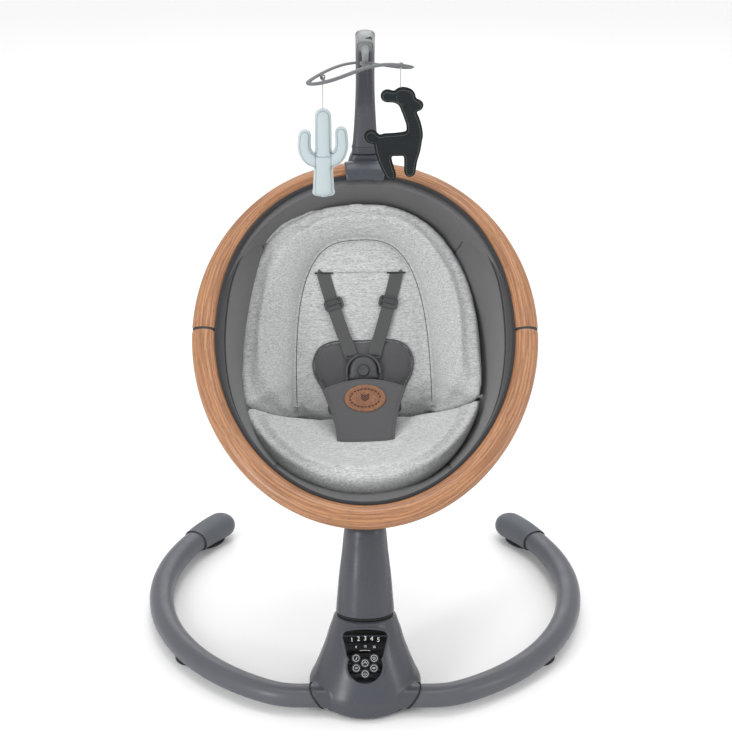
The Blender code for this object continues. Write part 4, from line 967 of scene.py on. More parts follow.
def ring_middle(phi):
    """The visible tube's middle line, a little further out where the hem covers its inner side."""
    return ring_point(phi) * (1 + HEM_COVER * hem_share(phi) / RING_HALF[1])


def make_ring():
    halves = (("rim_upper", -RIM_JOINT, RIM_JOINT), ("rim_lower", RIM_JOINT, 2 * pi - RIM_JOINT))
    for name, start, end in halves:
        trim = 0.0005 / RING_HALF[1]
        length = end - start - 2 * trim

        def outline(share):
            """The tube's section, eased at its two ends."""
            from_end = min(share, 1 - share) * length * RING_HALF[0]
            ease = 1 - 0.10 * max(0.0, 1 - from_end / 0.0012) ** 2
            covered = HEM_COVER * hem_share(start + trim + length * share)
            return oval(RING_SECTION[0] * ease - covered, RING_SECTION[1] * ease, 56, RING_POWER)

        path = [ring_middle(start + trim + length * k / 219) for k in range(220)]
        finish_piece(bar(name + "_tube", path, outline, RING, WOOD), "seat", "wood_rim", name)
    core = oval(RING_SECTION[0] - 0.0008, RING_SECTION[1] - 0.0008, 48, RING_POWER)
    for name, side in (("left_rim_joint", -1), ("right_rim_joint", 1)):
        path = [ring_point(side * (RIM_JOINT - 0.02 + 0.04 * k / 6)) for k in range(7)]
        finish_piece(bar(name + "_core", path, lambda t: core, RING, BLACK), "seat", "black_plastic", name)


SHELL_SEAMS = ((radians(-46.3), radians(14)), (radians(44.8), radians(-49)), (radians(-140.5), radians(45)),
               (radians(141.8), radians(-40)))      # where each seam leaves the rim, and its drift with depth


def liner_point(fraction, phi, lift):
    """A point over the bowl's inner face, carried out over the ring near the rim's top."""
    rim = ring_point(phi, BOWL_RIM) - Vector((0, BOWL_LOW, 0))
    fade = max(0.0, 1 - fraction * rim.length / 0.035)
    lap = (0.0010 + 0.0118 * hem_share(phi)) * fade
    return bowl_point(fraction, phi, lift, liner_fall) + rim.normalized() * lap


def hem_fractions(phi, reaches):
    """Where the inner face has run on from the rim by each of the given distances."""
    found, walked, before = [], 0.0, 0.0
    last = bowl_point(0, phi, 0, liner_fall)
    for k in range(1, 81):
        f = 0.12 * (k / 80) ** 2
        here = bowl_point(f, phi, 0, liner_fall)
        step = (here - last).length
        while len(found) < len(reaches) and walked + step >= reaches[len(found)]:
            found.append(before + (f - before) * (reaches[len(found)] - walked) / step)
        walked, before, last = walked + step, f, here
    return found


HEM = ((0.0045, 0.0052), (0.0085, 0.0054), (0.0118, 0.0040))       # along the fabric from the rim, and over it


def wood_edge(phi, inwards, rise):
    """A point off the ring's inner edge."""
    middle = ring_middle(phi)
    from_middle = RING_SECTION[0] - HEM_COVER * hem_share(phi) + inwards
    return middle - middle.normalized() * from_middle + Vector((0, 0, rise))


def make_hem():
    """The rim's dark band, piped along both edges."""
    turns = turns_of(300)
    table = [hem_fractions(a, [reach for reach, _ in HEM]) for a in turns]

    def line(spot, sink=0.0):
        return [liner_point(row[spot], a, HEM[spot][1] - sink) for a, row in zip(turns, table)]

    edge = [wood_edge(a, 0.0016, 0.0040) for a in turns]
    pipes = [tube("piping", path, radius, RING, TAPE_CLOTH, loop=True, sides=14)
             for path, radius in ((edge, 0.0030), (line(2), 0.0020))]
    finish_piece(merge("rim_piping", pipes), "seat", "shell_fabric")
    rows = [[wood_edge(a, 0.0010, 0.0048) for a in turns], line(0), line(1), line(2), line(2, 0.0024),
            line(1, 0.0024), line(0, 0.0024), [wood_edge(a, 0.0010, 0.0020) for a in turns]]
    finish_piece(skin("rim_hem", rows, RING, ZIP_CLOTH, loop=True), "seat", "shell_fabric")
    bm = bmesh.new()
    for a in turns:
        spot = Matrix.Translation(bowl_point(0.030, a, -0.0012)) @ Matrix.Rotation(-a, 4, "Z")
        bmesh.ops.create_cube(bm, size=1.0, matrix=spot @ Matrix.Diagonal((0.0024, 0.0016, 0.0030, 1)))
    finish_piece(from_bmesh("zip_teeth", bm, RING, BLACK), "seat", "black_plastic")


def make_shell():
    """The fabric bowl: a dark hem on the ring, four sewn seams and a little slack between them."""
    angles = turns_of(288)
    depth_rows = 60

    def slack(f, phi):
        nearest = min(abs((phi - seam - drift * f + pi) % (2 * pi) - pi) for seam, drift in SHELL_SEAMS)
        across = nearest * 0.22 * (1 - f)
        groove = -0.0016 * exp(-(across / 0.0026) ** 2)
        ripple = 0.0005 * sin(phi * 9 + 5 * f) * sin(pi * min(1, f * 3))
        return groove + 0.0016 * sin(pi * min(1, f * 2.4)) * min(1, nearest / 0.5) + ripple

    under, over = [], []
    for k in range(depth_rows):
        f = (k / depth_rows) ** 1.35
        under.append([bowl_point(f, a, -0.6 * slack(f, a)) for a in angles])
        over.append([liner_point(f, a, 0.0034 + slack(f, a)) for a in angles])
    rows = [[bowl_point(1, 0, 0)], *under[::-1], *over, [bowl_point(1, 0, 0.004)]]
    shell = skin("seat_shell_fabric", rows, RING, SHELL_CLOTH)
    shell.data.transform(RING)
    shell.matrix_world = Matrix.Identity(4)
    finish_piece(shell, "seat", "shell_fabric", "seat_shell")

    welts = []
    for seam, drift in SHELL_SEAMS:
        inside = [liner_point(f, seam + drift * f, 0.0028) for f in (0.03 + 0.55 * k / 60 for k in range(61))]
        outside = [bowl_point(f, seam, -0.0008) for f in (0.035 + 0.80 * k / 50 for k in range(51))]
        welts += [tube("welt", path, radius, RING, TAPE_CLOTH)
                  for path, radius in ((inside, 0.0006), (outside, 0.0009))]
    finish_piece(merge("shell_welts", welts), "seat", "shell_fabric")
    make_hem()


# ---------------------------------------------------------------- insert
def ring_to_back(x, w, d):
    """From the ring's plane (across, up, depth) to the seat back's frame."""
    y = RING_CENTRE[1] + RING_SLOPE[0] * w + RING_SLOPE[1] * d - CREASE.y
    z = RING_CENTRE[2] + RING_SLOPE[1] * w - RING_SLOPE[0] * d - CREASE.z
    return world_to_back(x, y, z)


def world_to_back(x, y, z):
    """From offsets to the crease, level with the floor, to the seat back's frame."""
    return Vector((x, y * cos(BACK_TILT) + z * sin(BACK_TILT), -y * sin(BACK_TILT) + z * cos(BACK_TILT)))


INSERT_HALF = (0.1740, 0.2115)                 # of the insert's outline in the ring's plane
INSERT_MIDDLE = 0.0180
INSERT_ASIDE = -0.0030
FOLD_W = -0.046                               # where the back and seat parts meet, on the ring's long axis
ARCH = (0.098, 0.258)                         # the inner panel: half width at the crease, and height
EDGE_DEPTH = ((-0.204, 0.030), (-0.197, 0.036), (-0.180, 0.047), (-0.150, 0.065), (-0.112, 0.082),
              (-0.046, 0.108), (0.027, 0.100), (0.085, 0.083), (0.125, 0.070), (0.165, 0.056), (0.230, 0.028))
EDGE_CLEAR = 0.012                            # least height of the insert's edge over the bowl
BACK_HALF = 0.017                             # half thickness of the back at its edge
SEAT_HALF = 0.016                             # and of the seat part
PANEL_CROWN = 0.0050


def edge_depth(w):
    """How deep the insert's edge lies in the bowl, by its place along the ring."""
    for (low, first), (high, second) in zip(EDGE_DEPTH, EDGE_DEPTH[1:]):
        if w <= high:
            return first + (second - first) * max(0.0, (w - low) / (high - low))
    return EDGE_DEPTH[-1][1]


def insert_edge(angle):
    """The insert's outline; angle 0 is the top. Its upper half is fuller than an ellipse."""
    power = 2.35 if cos(angle) > 0 else 2.05
    x = INSERT_ASIDE + INSERT_HALF[0] * bulged(sin(angle), power)
    w = INSERT_MIDDLE + INSERT_HALF[1] * bulged(cos(angle), power)
    edge = ring_to_back(x, w, edge_depth(w))
    back_in_ring = RING.inverted() @ BACK
    there = back_in_ring @ edge
    room = max(0.0, bowl_depth(there.x, there.y) - EDGE_CLEAR)
    there.z = max(there.z, -room)
    return back_in_ring.inverted() @ there


FOLD_ANGLE = acos((FOLD_W - INSERT_MIDDLE) / INSERT_HALF[1])


def arch_measure(a, b):
    """1 on the seam between the inner panel and the bolster."""
    return (abs(a / ARCH[0]) ** 3 + abs(max(b, 0.0) / ARCH[1]) ** 3) ** (1 / 3)


def fold_point(s):
    """The line where the seat part meets the back, from the left corner (-1) to the right (1)."""
    corner = insert_edge(FOLD_ANGLE)
    inner = 0.46
    rise = max(0.0, (abs(s) - inner) / (1 - inner))
    return Vector((corner.x * s, -0.004 + (corner.y + 0.004) * rise ** 1.15,
                   0.010 + (corner.z - 0.010) * rise ** 1.3))


def pillow(name, boundary, centre, heights, matrix, surface, steps=30):
    """A closed form inside a boundary; heights(a, b, r, edge) gives its top and bottom there."""
    top, bottom = [], []
    for k in range(1, steps + 1):
        r = sin(pi / 2 * k / steps)
        upper, lower = [], []
        for edge in boundary:
            a = centre[0] + (edge.x - centre[0]) * r
            b = centre[1] + (edge.y - centre[1]) * r
            high, low = heights(a, b, r, edge)
            upper.append(Vector((a, b, high)))
            lower.append(Vector((a, b, low)))
        top.append(upper)
        if k < steps:
            bottom.append(lower)
    high, low = heights(centre[0], centre[1], 0.0, boundary[0])
    rows = [[Vector((*centre, high))], *top, *bottom[::-1], [Vector((*centre, low))]]
    return skin(name, rows, matrix, surface)


def back_heights(a, b, r, edge):
    q = arch_measure(a, b)
    q_edge = arch_measure(edge.x, edge.y)
    share = 0.0 if q_edge <= 1 else min(1.0, max(0.0, (q - 1) / (q_edge - 1)))
    surface = PANEL_CROWN * max(0.0, 1 - q ** 3) + (edge.z + BACK_HALF) * share ** 0.80
    round_off = sqrt(max(0.0, 1 - r ** 9))
    high = surface - BACK_HALF + BACK_HALF * round_off
    return high, surface - BACK_HALF - (BACK_HALF + 0.010 * share) * round_off


def make_insert():
    boundary = [insert_edge(FOLD_ANGLE - 2 * FOLD_ANGLE * k / 149) for k in range(150)]
    left, right = boundary[-1], boundary[0]
    for k in range(1, 40):
        share = k / 40
        hidden = left.lerp(right, share)
        drop = sin(pi * share)
        up = hidden.y - 0.042 * drop ** 0.6
        boundary.append(Vector((hidden.x, up, hidden.z * (1 - drop ** 0.5) + 0.004)))
    back = pillow("insert_back", boundary, (0, 0.105), back_heights, BACK, KNIT)
    inflate(back, 0.0045, 0.006)
    keep_in_bowl(back)
    groove_arch(back)
    finish_piece(back, "seat", "melange_knit", "insert_bolster")
    make_head_panel(back)

    seat = make_seat_part()
    inflate(seat, 0.0045, 0.006)
    keep_in_bowl(seat)
    finish_piece(seat, "seat", "melange_knit", "insert_pad")
    trim_insert(back)
    return back


def head_edge(a):
    """The head panel's lower edge, up from the crease; it lies level, so it slants across the turned back."""
    return 0.2100 - 0.029 * a


def make_head_panel(back):
    """A second layer over the top of the inner panel; the straps come out from under its straight edge."""
    arch = [(a * 0.985, b * 0.992) for a, b in arch_line(240) if b > head_edge(a) + 0.002]
    edge = [arch[-1][0] + (arch[0][0] - arch[-1][0]) * k / 40 for k in range(41)]
    outline = draped(back, [*arch, *((a, head_edge(a)) for a in edge)], 0.0)

    def heights(a, b, r, edge):
        spot = draped(back, [(a, b)], 0.0)
        return spot[0].z - 0.0008 + 0.0042 * sqrt(max(0.0, 1 - r ** 7)), spot[0].z - 0.0040

    panel = pillow("head_panel", outline, (0, 0.5 * (head_edge(0) + ARCH[1])), heights, BACK, KNIT, 16)
    finish_piece(panel, "seat", "melange_knit")


def seat_offsets(point):
    """(across, forward, up) of a point of the seat back's frame, level with the floor."""
    y = point.y * cos(BACK_TILT) - point.z * sin(BACK_TILT)
    z = point.y * sin(BACK_TILT) + point.z * cos(BACK_TILT)
    return Vector((point.x, -y, z))


def make_seat_part():
    """The part the child sits on: it dips in the middle, its sides rise to the fold's corners."""
    around = [insert_edge(FOLD_ANGLE + (2 * pi - 2 * FOLD_ANGLE) * k / 100) for k in range(100)]
    around += [fold_point(-1 + 2 * k / 60) for k in range(60)]
    boundary = [seat_offsets(p) for p in around]

    def heights(x, forward, r, edge):
        surface = 0.001 + (edge.z + SEAT_HALF - 0.001) * r ** 3.2
        round_off = sqrt(max(0.0, 1 - r ** 10))
        low = surface - SEAT_HALF - (SEAT_HALF + 0.006) * round_off
        return surface - SEAT_HALF + SEAT_HALF * round_off, low

    part = pillow("insert_seat", boundary, (0, 0.100), heights, Matrix.Identity(4), KNIT)
    for vertex in part.data.vertices:
        x, forward, up = vertex.co
        vertex.co = world_to_back(x, -forward, up)
    part.matrix_world = BACK
    return part


def arch_line(count):
    """Points of the inner panel's seam, from its left foot over the top to the right."""
    angles = [pi * k / (count - 1) for k in range(count)]
    return [(-ARCH[0] * bulged(cos(a), 3), ARCH[1] * abs(sin(a)) ** (2 / 3)) for a in angles]


def press_along(obj, points, width, depth, reach=0.05):
    """Sink a seam into a piece's front, along points of its local XY."""
    tree = KDTree(len(points))
    for k, (a, b) in enumerate(points):
        tree.insert((a, b, 0), k)
    tree.balance()
    normals = [v.normal.copy() for v in obj.data.vertices]
    for vertex, normal in zip(obj.data.vertices, normals):
        if normal.z > 0.15:
            distance = tree.find((vertex.co.x, vertex.co.y, 0))[2]
            if distance < reach:
                vertex.co = vertex.co - normal * (depth * exp(-(distance / width) ** 2))


def groove_arch(back):
    press_along(back, arch_line(400), 0.0026, 0.0024)
    press_along(back, arch_line(400), 0.0120, 0.0026)


TREES = {}


def draped(obj, points, lift):
    """Points of local XY laid on a piece's front, raised by lift; points that miss it are dropped."""
    if obj.name not in TREES:
        TREES[obj.name] = BVHTree.FromPolygons([v.co for v in obj.data.vertices],
                                               [p.vertices for p in obj.data.polygons])
    found = []
    for a, b in points:
        hit, normal, _, _ = TREES[obj.name].ray_cast(Vector((a, b, 0.4)), Vector((0, 0, -1)))
        if hit is not None:
            found.append(hit + normal * lift)
    return found


def trim_insert(back):
    """Seam thread round the inner panel, dark bars of painted shade in each strap slot, and the two fastening
    knobs.
    """
    seam = draped(back, [p for p in arch_line(260) if p[1] > 0.002], 0.0002)
    thread = tube("panel_seam", seam, 0.00055, BACK, THREAD_GREY)
    finish_piece(thread, "seat", "melange_knit")
    slot_shade_bars = []
    # each strap slot's opening is drawn as a dark tape cord: painted shade, not a part of the seat
    for side in (-1, 1):
        across = [side * SLOT_ACROSS + (k - 8) * 0.00165 for k in range(17)]
        row = draped(back, [(a, head_edge(a) - 0.0002) for a in across], 0.0020)
        slot_shade_bars.append(bar("slot", row, lambda t: oval(0.0012, 0.0014, 10), BACK, TAPE_CLOTH))
    finish_piece(merge("strap_slot_shade", slot_shade_bars), "seat", "melange_knit")
    knob = ((0, 0.0042), (0.0024, 0.0038), (0.0036, 0.0022), (0.0036, 0.0008), (0.0018, 0.0), (0.0016, -0.0060),
            (0, -0.0060))
    knobs = []
    for side in (-1, 1):
        spot = insert_edge(side * FOLD_ANGLE) + Vector((side * 0.0020, 0.0, 0.004))
        place = moved(BACK, *spot) @ Matrix.Rotation(side * pi / 2, 4, "Y")
        knobs.append(turned("knob", knob, place, TIP_GREY, 24))
    finish_piece(merge("insert_knobs", knobs), "seat", "light_grey_plastic")


# ---------------------------------------------------------------- harness
def strap_path(side, back):
    """From the head panel's edge, over the knit, down to the buckle."""
    top = head_edge(side * SLOT_ACROSS)
    spots = ((SLOT_ACROSS, top + 0.0003, 0.0060), (0.0519, top - 0.0060, 0.0090), (0.0420, 0.1680, 0.0118),
             (0.0300, 0.1300, 0.0155), (0.0215, 0.1050, 0.0175), (0.0155, 0.0850, 0.0205))
    route = smooth_path([(side * x, up, out) for x, up, out in spots], 70)
    for point in route:
        point.z = max(point.z, draped(back, [(point.x, point.y)], 0.0)[0].z + 0.0014)
    heights = [point.z for point in route]
    for k, point in enumerate(route):
        near = heights[max(k - 2, 0):k + 3]
        point.z = sum(near) / len(near)
    return route


STRAP_SECTION = ((-1, -0.4), (-0.97, -1), (0, -1), (0.97, -1), (1, -0.4), (1, 0.4), (0.97, 1), (0, 1),
                 (-0.97, 1), (-1, 0.4))


def flat_strap(name, path, half_w, half_t):
    """A strap whose width stays in the plane of the seat back."""
    section = [(half_w * a, half_t * b) for a, b in STRAP_SECTION]
    return bar(name, path, lambda t: section, BACK, WEBBING)


def make_harness(back):
    for side, word in ((-1, "left"), (1, "right")):
        path = strap_path(side, back)
        strap = flat_strap(word + "_strap", path, STRAP_HALF, 0.0008)
        finish_piece(strap, "seat", "webbing", word + "_shoulder_strap")
        lower = [p + Vector((0, 0, 0.0017)) for p in path[26:66]]
        doubled = flat_strap(word + "_strap_return", lower, STRAP_HALF - 0.0002, 0.0007)
        finish_piece(doubled, "seat", "webbing")
        make_adjuster(side, word)
    make_waist_pad()
    make_buckle()
    make_flap()


def make_adjuster(side, word):
    """A three-bar slider: a rounded frame with a raised cross bar and grip ribs."""
    mirror = Vector((side, 1, 1))
    run = ((ADJUSTER_TOP - ADJUSTER_LOW) * mirror).normalized()
    spot = ADJUSTER_LOW * mirror + run * ADJUSTER_UP + Vector((0, 0, 0.0006))
    place = moved(BACK, *spot) @ Matrix.Rotation(atan2(-run.x, run.y), 4, "Z")
    outline = oval(0.0135, 0.0086, 48, 5.0)
    windows = [[(x, y + shift) for x, y in oval(0.0103, 0.0022, 28, 5.0)] for shift in (-0.0042, 0.0042)]
    pieces = [plate("frame", outline, 0.0052, place, BUCKLE_GREY, 0.0012, 3, windows)]
    for shift, wide, rise in ((0.0, 0.0106, 0.0030), (-0.0074, 0.0118, 0.0026), (0.0074, 0.0118, 0.0026)):
        row = [Vector((x, shift, rise)) for x in (-wide, -wide * 0.5, 0, wide * 0.5, wide)]
        pieces.append(tube("rib", row, 0.0011, place, BUCKLE_GREY, sides=12))
    for x in (-0.0126, 0.0126):
        row = [Vector((x, y, 0.0016)) for y in (-0.0050, 0, 0.0050)]
        pieces.append(tube("cheek", row, 0.0015, place, BUCKLE_GREY, sides=12))
    slider = merge(word + "_slider", pieces)
    finish_piece(slider, word + "_strap_adjuster", "buckle_plastic", word + "_strap_adjuster")


def smooth_outline(right, count):
    """The right half of an outline through the given points, then mirrored."""
    half = [(p.x, p.y) for p in smooth_path([(x, y, 0) for x, y in right], count)]
    return mirrored([(0.0, half[0][1]), *half[1:-1], (0.0, half[-1][1])])


def flat_pillow(name, outline, centre, base, half, crown, matrix, surface, power=8, steps=26):
    """A pad over a flat outline: base is its middle plane, half its edge thickness, crown its rise."""
    def heights(a, b, r, edge):
        round_off = sqrt(max(0.0, 1 - r ** power))
        swell = crown * (1 - r * r)
        return base + half * round_off + swell, base - half * round_off
    return pillow(name, [Vector((x, y, 0)) for x, y in outline], centre, heights, matrix, surface, steps)


WAIST_SHAPE = [(0.0, 0.1110), (0.0360, 0.1115), (0.0520, 0.1085), (0.0640, 0.1010), (0.0705, 0.0890),
               (0.0725, 0.0760), (0.0690, 0.0610), (0.0600, 0.0440), (0.0520, 0.0260), (0.0470, 0.0060),
               (0.0, 0.0040)]


def stitches(name, path, pitch, radius, matrix, surface):
    """Short thread dashes on a path, half on and half off."""
    lengths = run_lengths(path)
    bm = bmesh.new()
    for k in range(int(lengths[-1] / pitch)):
        dash = [at_length(path, lengths, k * pitch + pitch * 0.58 * j / 3) for j in range(4)]
        for end in (0, -1):
            dash[end] = dash[end] - Vector((0, 0, radius * 0.9))
        add_rod(bm, sweep_rows(dash, lambda t: oval(radius, radius, 6), UP))
    bmesh.ops.recalc_face_normals(bm, faces=bm.faces)
    return from_bmesh(name, bm, matrix, surface)


def make_waist_pad():
    outline = smooth_outline(WAIST_SHAPE, 90)
    pad = flat_pillow("waist_pad_cover", outline, (0, 0.068), 0.0110, 0.0034, 0.0030, BACK, HARNESS_CLOTH)
    inflate(pad, 0.0028, 0.0016, pressure=3.0, smoothing=1)
    press_along(pad, inset(outline, 0.0055), 0.0014, 0.0009)
    finish_piece(pad, "seat", "harness_fabric", "waist_pad")
    edge = [Vector((x, y, 0.0112)) for x, y in outline]
    finish_piece(tube("waist_pad_binding", edge, 0.0013, BACK, HARNESS_CLOTH, loop=True, sides=12), "seat",
                 "harness_fabric")


def make_buckle():
    """A domed buckle: its body, the two tongues of the shoulder straps and its release button."""
    shape = [(0.0, 0.0205), (0.0085, 0.0195), (0.0150, 0.0145), (0.0190, 0.0065), (0.0200, -0.0020),
             (0.0196, -0.0115), (0.0, -0.0125)]
    outline = [(x, BUCKLE_UP + y) for x, y in smooth_outline(shape, 50)]
    body = flat_pillow("buckle_dome", outline, (0, BUCKLE_UP), 0.0250, 0.0050, 0.0016, BACK, BUCKLE_GREY,
                       12, 24)
    face = moved(BACK, 0, BUTTON_UP, 0.0325)
    pocket = ((0, 0.02), (0.0086, 0.02), (0.0086, -0.0035), (0, -0.0035))
    cut(body, [turned("pocket", pocket, face, BUCKLE_GREY, 48)])
    pieces = [body]
    for side in (-1, 1):
        arc = [Vector((side * 0.0240 * sin(a), BUCKLE_UP + 0.0235 * cos(a), 0.0235))
               for a in (radians(14 + 84 * k / 20) for k in range(21))]
        pieces.append(bar("tongue", arc, lambda t: oval(0.0024, 0.0036, 20, 2.6), BACK, BUCKLE_GREY))
        loop = [Vector((side * (0.0145 + 0.0108 * cos(a)), 0.0880 + 0.0030 * sin(a), 0.0222))
                for a in turns_of(24)]
        pieces.append(tube("strap_loop", loop, 0.0013, BACK, BUCKLE_GREY, loop=True, sides=10))
        leg = [Vector((side * 0.0238, y, 0.0205)) for y in (0.0680, 0.0600, 0.0540)]
        pieces.append(bar("side_tongue", leg, lambda t: oval(0.0030, 0.0030, 20, 3.0), BACK, BUCKLE_GREY))
    finish_piece(merge("buckle_housing", pieces), "seat", "buckle_plastic", "buckle_body")
    cap = ((0, 0.0019), (0.0030, 0.0020), (0.0062, 0.0026), (0.0074, 0.0025), (0.0080, 0.0016),
           (0.0080, -0.0025), (0, -0.0025))
    button = turned("release_button", cap, face, BUCKLE_GREY, 56)
    finish_piece(button, "buckle_button", "buckle_plastic", "buckle_button")


FLAP_SIDE = [(0.0407, -0.0450), (0.0420, -0.0260), (0.0452, -0.0080), (0.0505, 0.0120), (0.0606, 0.0410)]
FLAP_RISE = 0.0130


def flap_outline():
    """Arched at the top, hollow tapering sides, square at the bottom."""
    sides = [(p.x, p.y) for p in smooth_path([(x, y, 0) for x, y in FLAP_SIDE], 30)]
    wide, shoulder = FLAP_SIDE[-1]
    arch = [(wide * (1 - k / 24), shoulder + FLAP_RISE * sin(pi / 2 * k / 24)) for k in range(1, 25)]
    foot = [(0.0407 * k / 8, -0.0450 - 0.0006 * cos(pi / 2 * k / 8)) for k in range(8)]
    return mirrored([*foot, *sides, *arch])[::-1]


def make_flap():
    outline = flap_outline()
    flap = flat_pillow("crotch_flap_cover", outline, (0, 0), 0.0, 0.0022, 0.0008, FLAP, HARNESS_CLOTH, 14, 34)
    subdivided(flap)
    seam = inset(outline, 0.0036)
    press_along(flap, seam, 0.0012, 0.0008)
    for vertex in flap.data.vertices:
        vertex.co.z -= 0.7 * vertex.co.x ** 2
    flap.data.shade_smooth()
    finish_piece(flap, "seat", "harness_fabric", "crotch_flap")
    sewn = stitches("flap_stitching", draped(flap, seam, 0.00005), 0.0030, 0.00022, FLAP, THREAD_DARK)
    finish_piece(sewn, "seat", "harness_fabric")
    make_badge()


def make_badge():
    """A leather oval, stitched round, with a plain sprig and a ring of dashes burnt into it."""
    place = moved(FLAP, 0.0010, BADGE_UP, 0.0036)
    edge = oval(0.0297, 0.0212, 96)
    badge = flat_pillow("badge_oval", edge, (0, 0), 0.0, 0.0010, 0.0003, place, LEATHER, 16, 40)
    finish_piece(badge, "seat", "tan_leather", "leather_badge")
    line = [Vector((0.0215 * cos(a), 0.0140 * sin(a), 0.00112)) for a in (2 * pi * k / 90 for k in range(91))]
    marks = [stitches("ring_marks", line, 0.0052, 0.00130, place, BURNT_LEATHER)]
    stalk = [Vector((0, y, 0.0013)) for y in (-0.0058, -0.0020, 0.0020, 0.0058)]
    marks.append(tube("stalk", stalk, 0.00080, place, BURNT_LEATHER))
    bend = ((0, 0), (0.0026, 0.0013), (0.0056, 0.0036))
    for side in (-1, 1):
        for low in (-0.0040, -0.0008, 0.0024):
            leaf = [Vector((side * x, low + rise, 0.0013)) for x, rise in bend]
            marks.append(tube("leaf", leaf, 0.00095, place, BURNT_LEATHER))
    finish_piece(merge("badge_marks", marks), "seat", "tan_leather")
    rim = [Vector((x, y, 0.00100)) for x, y in oval(0.0274, 0.0189, 120)]
    sewn = stitches("badge_stitching", [*rim, rim[0]], 0.0026, 0.00026, place, THREAD_TAN)
    finish_piece(sewn, "seat", "tan_leather")


# ---------------------------------------------------------------- toy bar
ARM_FOOT = ((0.0, 0.0012), (0.0005, 0.0360), (-0.0050, 0.0800))        # (y, z) from the arm's root
ARM_BEND = ((0.1420, 0.7830), (0.1060, 0.8310), (0.0600, 0.8570), (0.0150, 0.8640), (-0.0165, 0.8605))
ARM_POWER = 2.5


def arm_rows(path, section):
    """Rows of the bar's tube; rise is its inner side, which faces the child."""
    rows = []
    last = len(path) - 1
    for k, here in enumerate(path):
        run = (path[min(k + 1, last)] - path[max(k - 1, 0)]).normalized()
        inner = Vector((1, 0, 0)).cross(run)
        rows.append([here + Vector((a, 0, 0)) + inner * b for a, b in section(k / last)])
    return rows


def valleyed(section, depth):
    """A section with a soft valley down the middle of its inner side."""
    return [(a, b - depth * exp(-(a / 0.0040) ** 2) if b > 0 else b) for a, b in section]


def make_toy_bar():
    route = [(0, ARM_ROOT.y + y, ARM_ROOT.z + z) for y, z in ARM_FOOT] + [(0, y, z) for y, z in ARM_BEND]
    path = smooth_path(route, 140)[:136]

    def section(share):
        """Broad at the foot, with a soft valley down its inner side that deepens under the bend."""
        foot = max(0.0, 1 - share / 0.40) ** 1.5
        valley = 0.0022 * min(1.0, max(0.0, (share - 0.16) / 0.2)) + 0.0038 * exp(-((share - 0.66) / 0.09) ** 2)
        slim = 1 - 0.22 * min(1.0, max(0.0, (share - 0.77) / 0.05))
        half_w, half_h = 0.0134 * slim * (1 + 0.46 * foot), 0.0077 * (1 + 0.35 * foot)
        return valleyed(oval(half_w, half_h, 64, ARM_POWER), valley)

    rows = arm_rows(path, section)
    hollow = [[here.lerp(sum(row, Vector()) / len(row), 0.16) for here in row] for row in rows[-1:-9:-1]]
    arm = skin("toy_bar_tube", [*rows, *hollow], BASE, SLATE)
    finish_piece(arm, "toy_bar", "slate_plastic", "toy_bar_arm")
    collar = bar("toy_bar_collar", [Vector((0, 0.1702, z)) for z in (0.6610, 0.6634)],
                 lambda t: oval(0.0197, 0.0113, 64, ARM_POWER), BASE, SLATE, Vector((0, -1, 0)))
    finish_piece(collar, "toy_bar", "slate_plastic")
    make_socket()
    make_tip(path[112:])


def make_socket():
    """The clip on the ring: a block behind it under the arm's foot, and a saddle bent over the wood."""
    sections = ((0.6240, 0.0262, 0.0150), (0.6262, 0.0268, 0.0156), (0.6330, 0.0262, 0.0152),
                (0.6430, 0.0238, 0.0142), (0.6500, 0.0212, 0.0128), (0.6517, 0.0204, 0.0122))
    rows = [[Vector((a, ARM_ROOT.y + b, height)) for a, b in oval(half_x, half_y, 64, 4.0)]
            for height, half_x, half_y in sections]
    body = skin("clip_body", rows, BASE, SLATE)
    saddle = []
    for k in range(33):
        t = k / 16 - 1
        phi = t * SADDLE_HALF / RING_HALF[0]
        ease = 1 - max(0.0, (abs(t) - 0.93) / 0.07) ** 2 * 0.45
        outward = ring_point(phi).normalized()
        section = []
        for grow, turns in ((0.0030 * ease, range(37)), (0.0004, range(36, -1, -1))):
            for j in turns:
                angle = radians(-62 + 214 * j / 36)
                close = grow * sqrt(max(0.05, 1 - (abs(j / 18 - 1) ** 12)))
                section.append(ring_point(phi) + outward * ((RING_SECTION[0] + close) * cos(angle))
                               + Vector((0, 0, (RING_SECTION[1] + close) * sin(angle))))
        saddle.append(section)
    strip = skin("clip_saddle", saddle, RING, SLATE)
    finish_piece(merge("toy_bar_clip", [body, strip]), "seat", "slate_plastic", "toy_bar_socket")


def make_tip(path):
    """The light-grey cap over the bar's end, and the neck down to the stem that the hanger turns on."""
    run = (path[-1] - path[-2]).normalized()
    path = [*path, path[-1] + run * 0.0012]

    def section(share):
        close = sqrt(max(0.0, 1 - max(0.0, (share - 0.86) / 0.14) ** 2.2))
        lip = 0.0006 if share > 0.03 else 0.0
        half_w, half_h = (0.0110 + lip) * (0.30 + 0.70 * close), (0.0086 + lip) * (0.25 + 0.75 * close)
        return valleyed(oval(half_w, half_h, 56, ARM_POWER), 0.0010)

    cap = skin("toy_bar_cap", arm_rows(path, section), BASE, TIP_GREY)
    y, z = path[-1].y, path[-1].z
    neck = smooth_path([(0, y + 0.0100, z - 0.0005), (0, y + 0.0010, z - 0.0006), (0, y - 0.0080, z - 0.0010),
                        (0, HANGER_AT.y - 0.0006, z - 0.0045), (0, HANGER_AT.y, z - 0.0120)], 40)
    stem = bar("neck", neck, lambda t: oval(0.0058 - 0.0018 * t, 0.0050 - 0.0010 * t, 28, 2.6), BASE, TIP_GREY,
               Vector((0, -0.5, 1)))
    notch_at = moved(BASE, 0.0046, y + 0.0105, z + 0.0085)
    cut(cap, [block("notch", (0.0085, 0.0100, 0.0046), notch_at, BLACK, 0.0009)])
    finish_piece(merge("toy_bar_cap", [cap, stem]), "toy_bar", "light_grey_plastic", "toy_bar_tip")


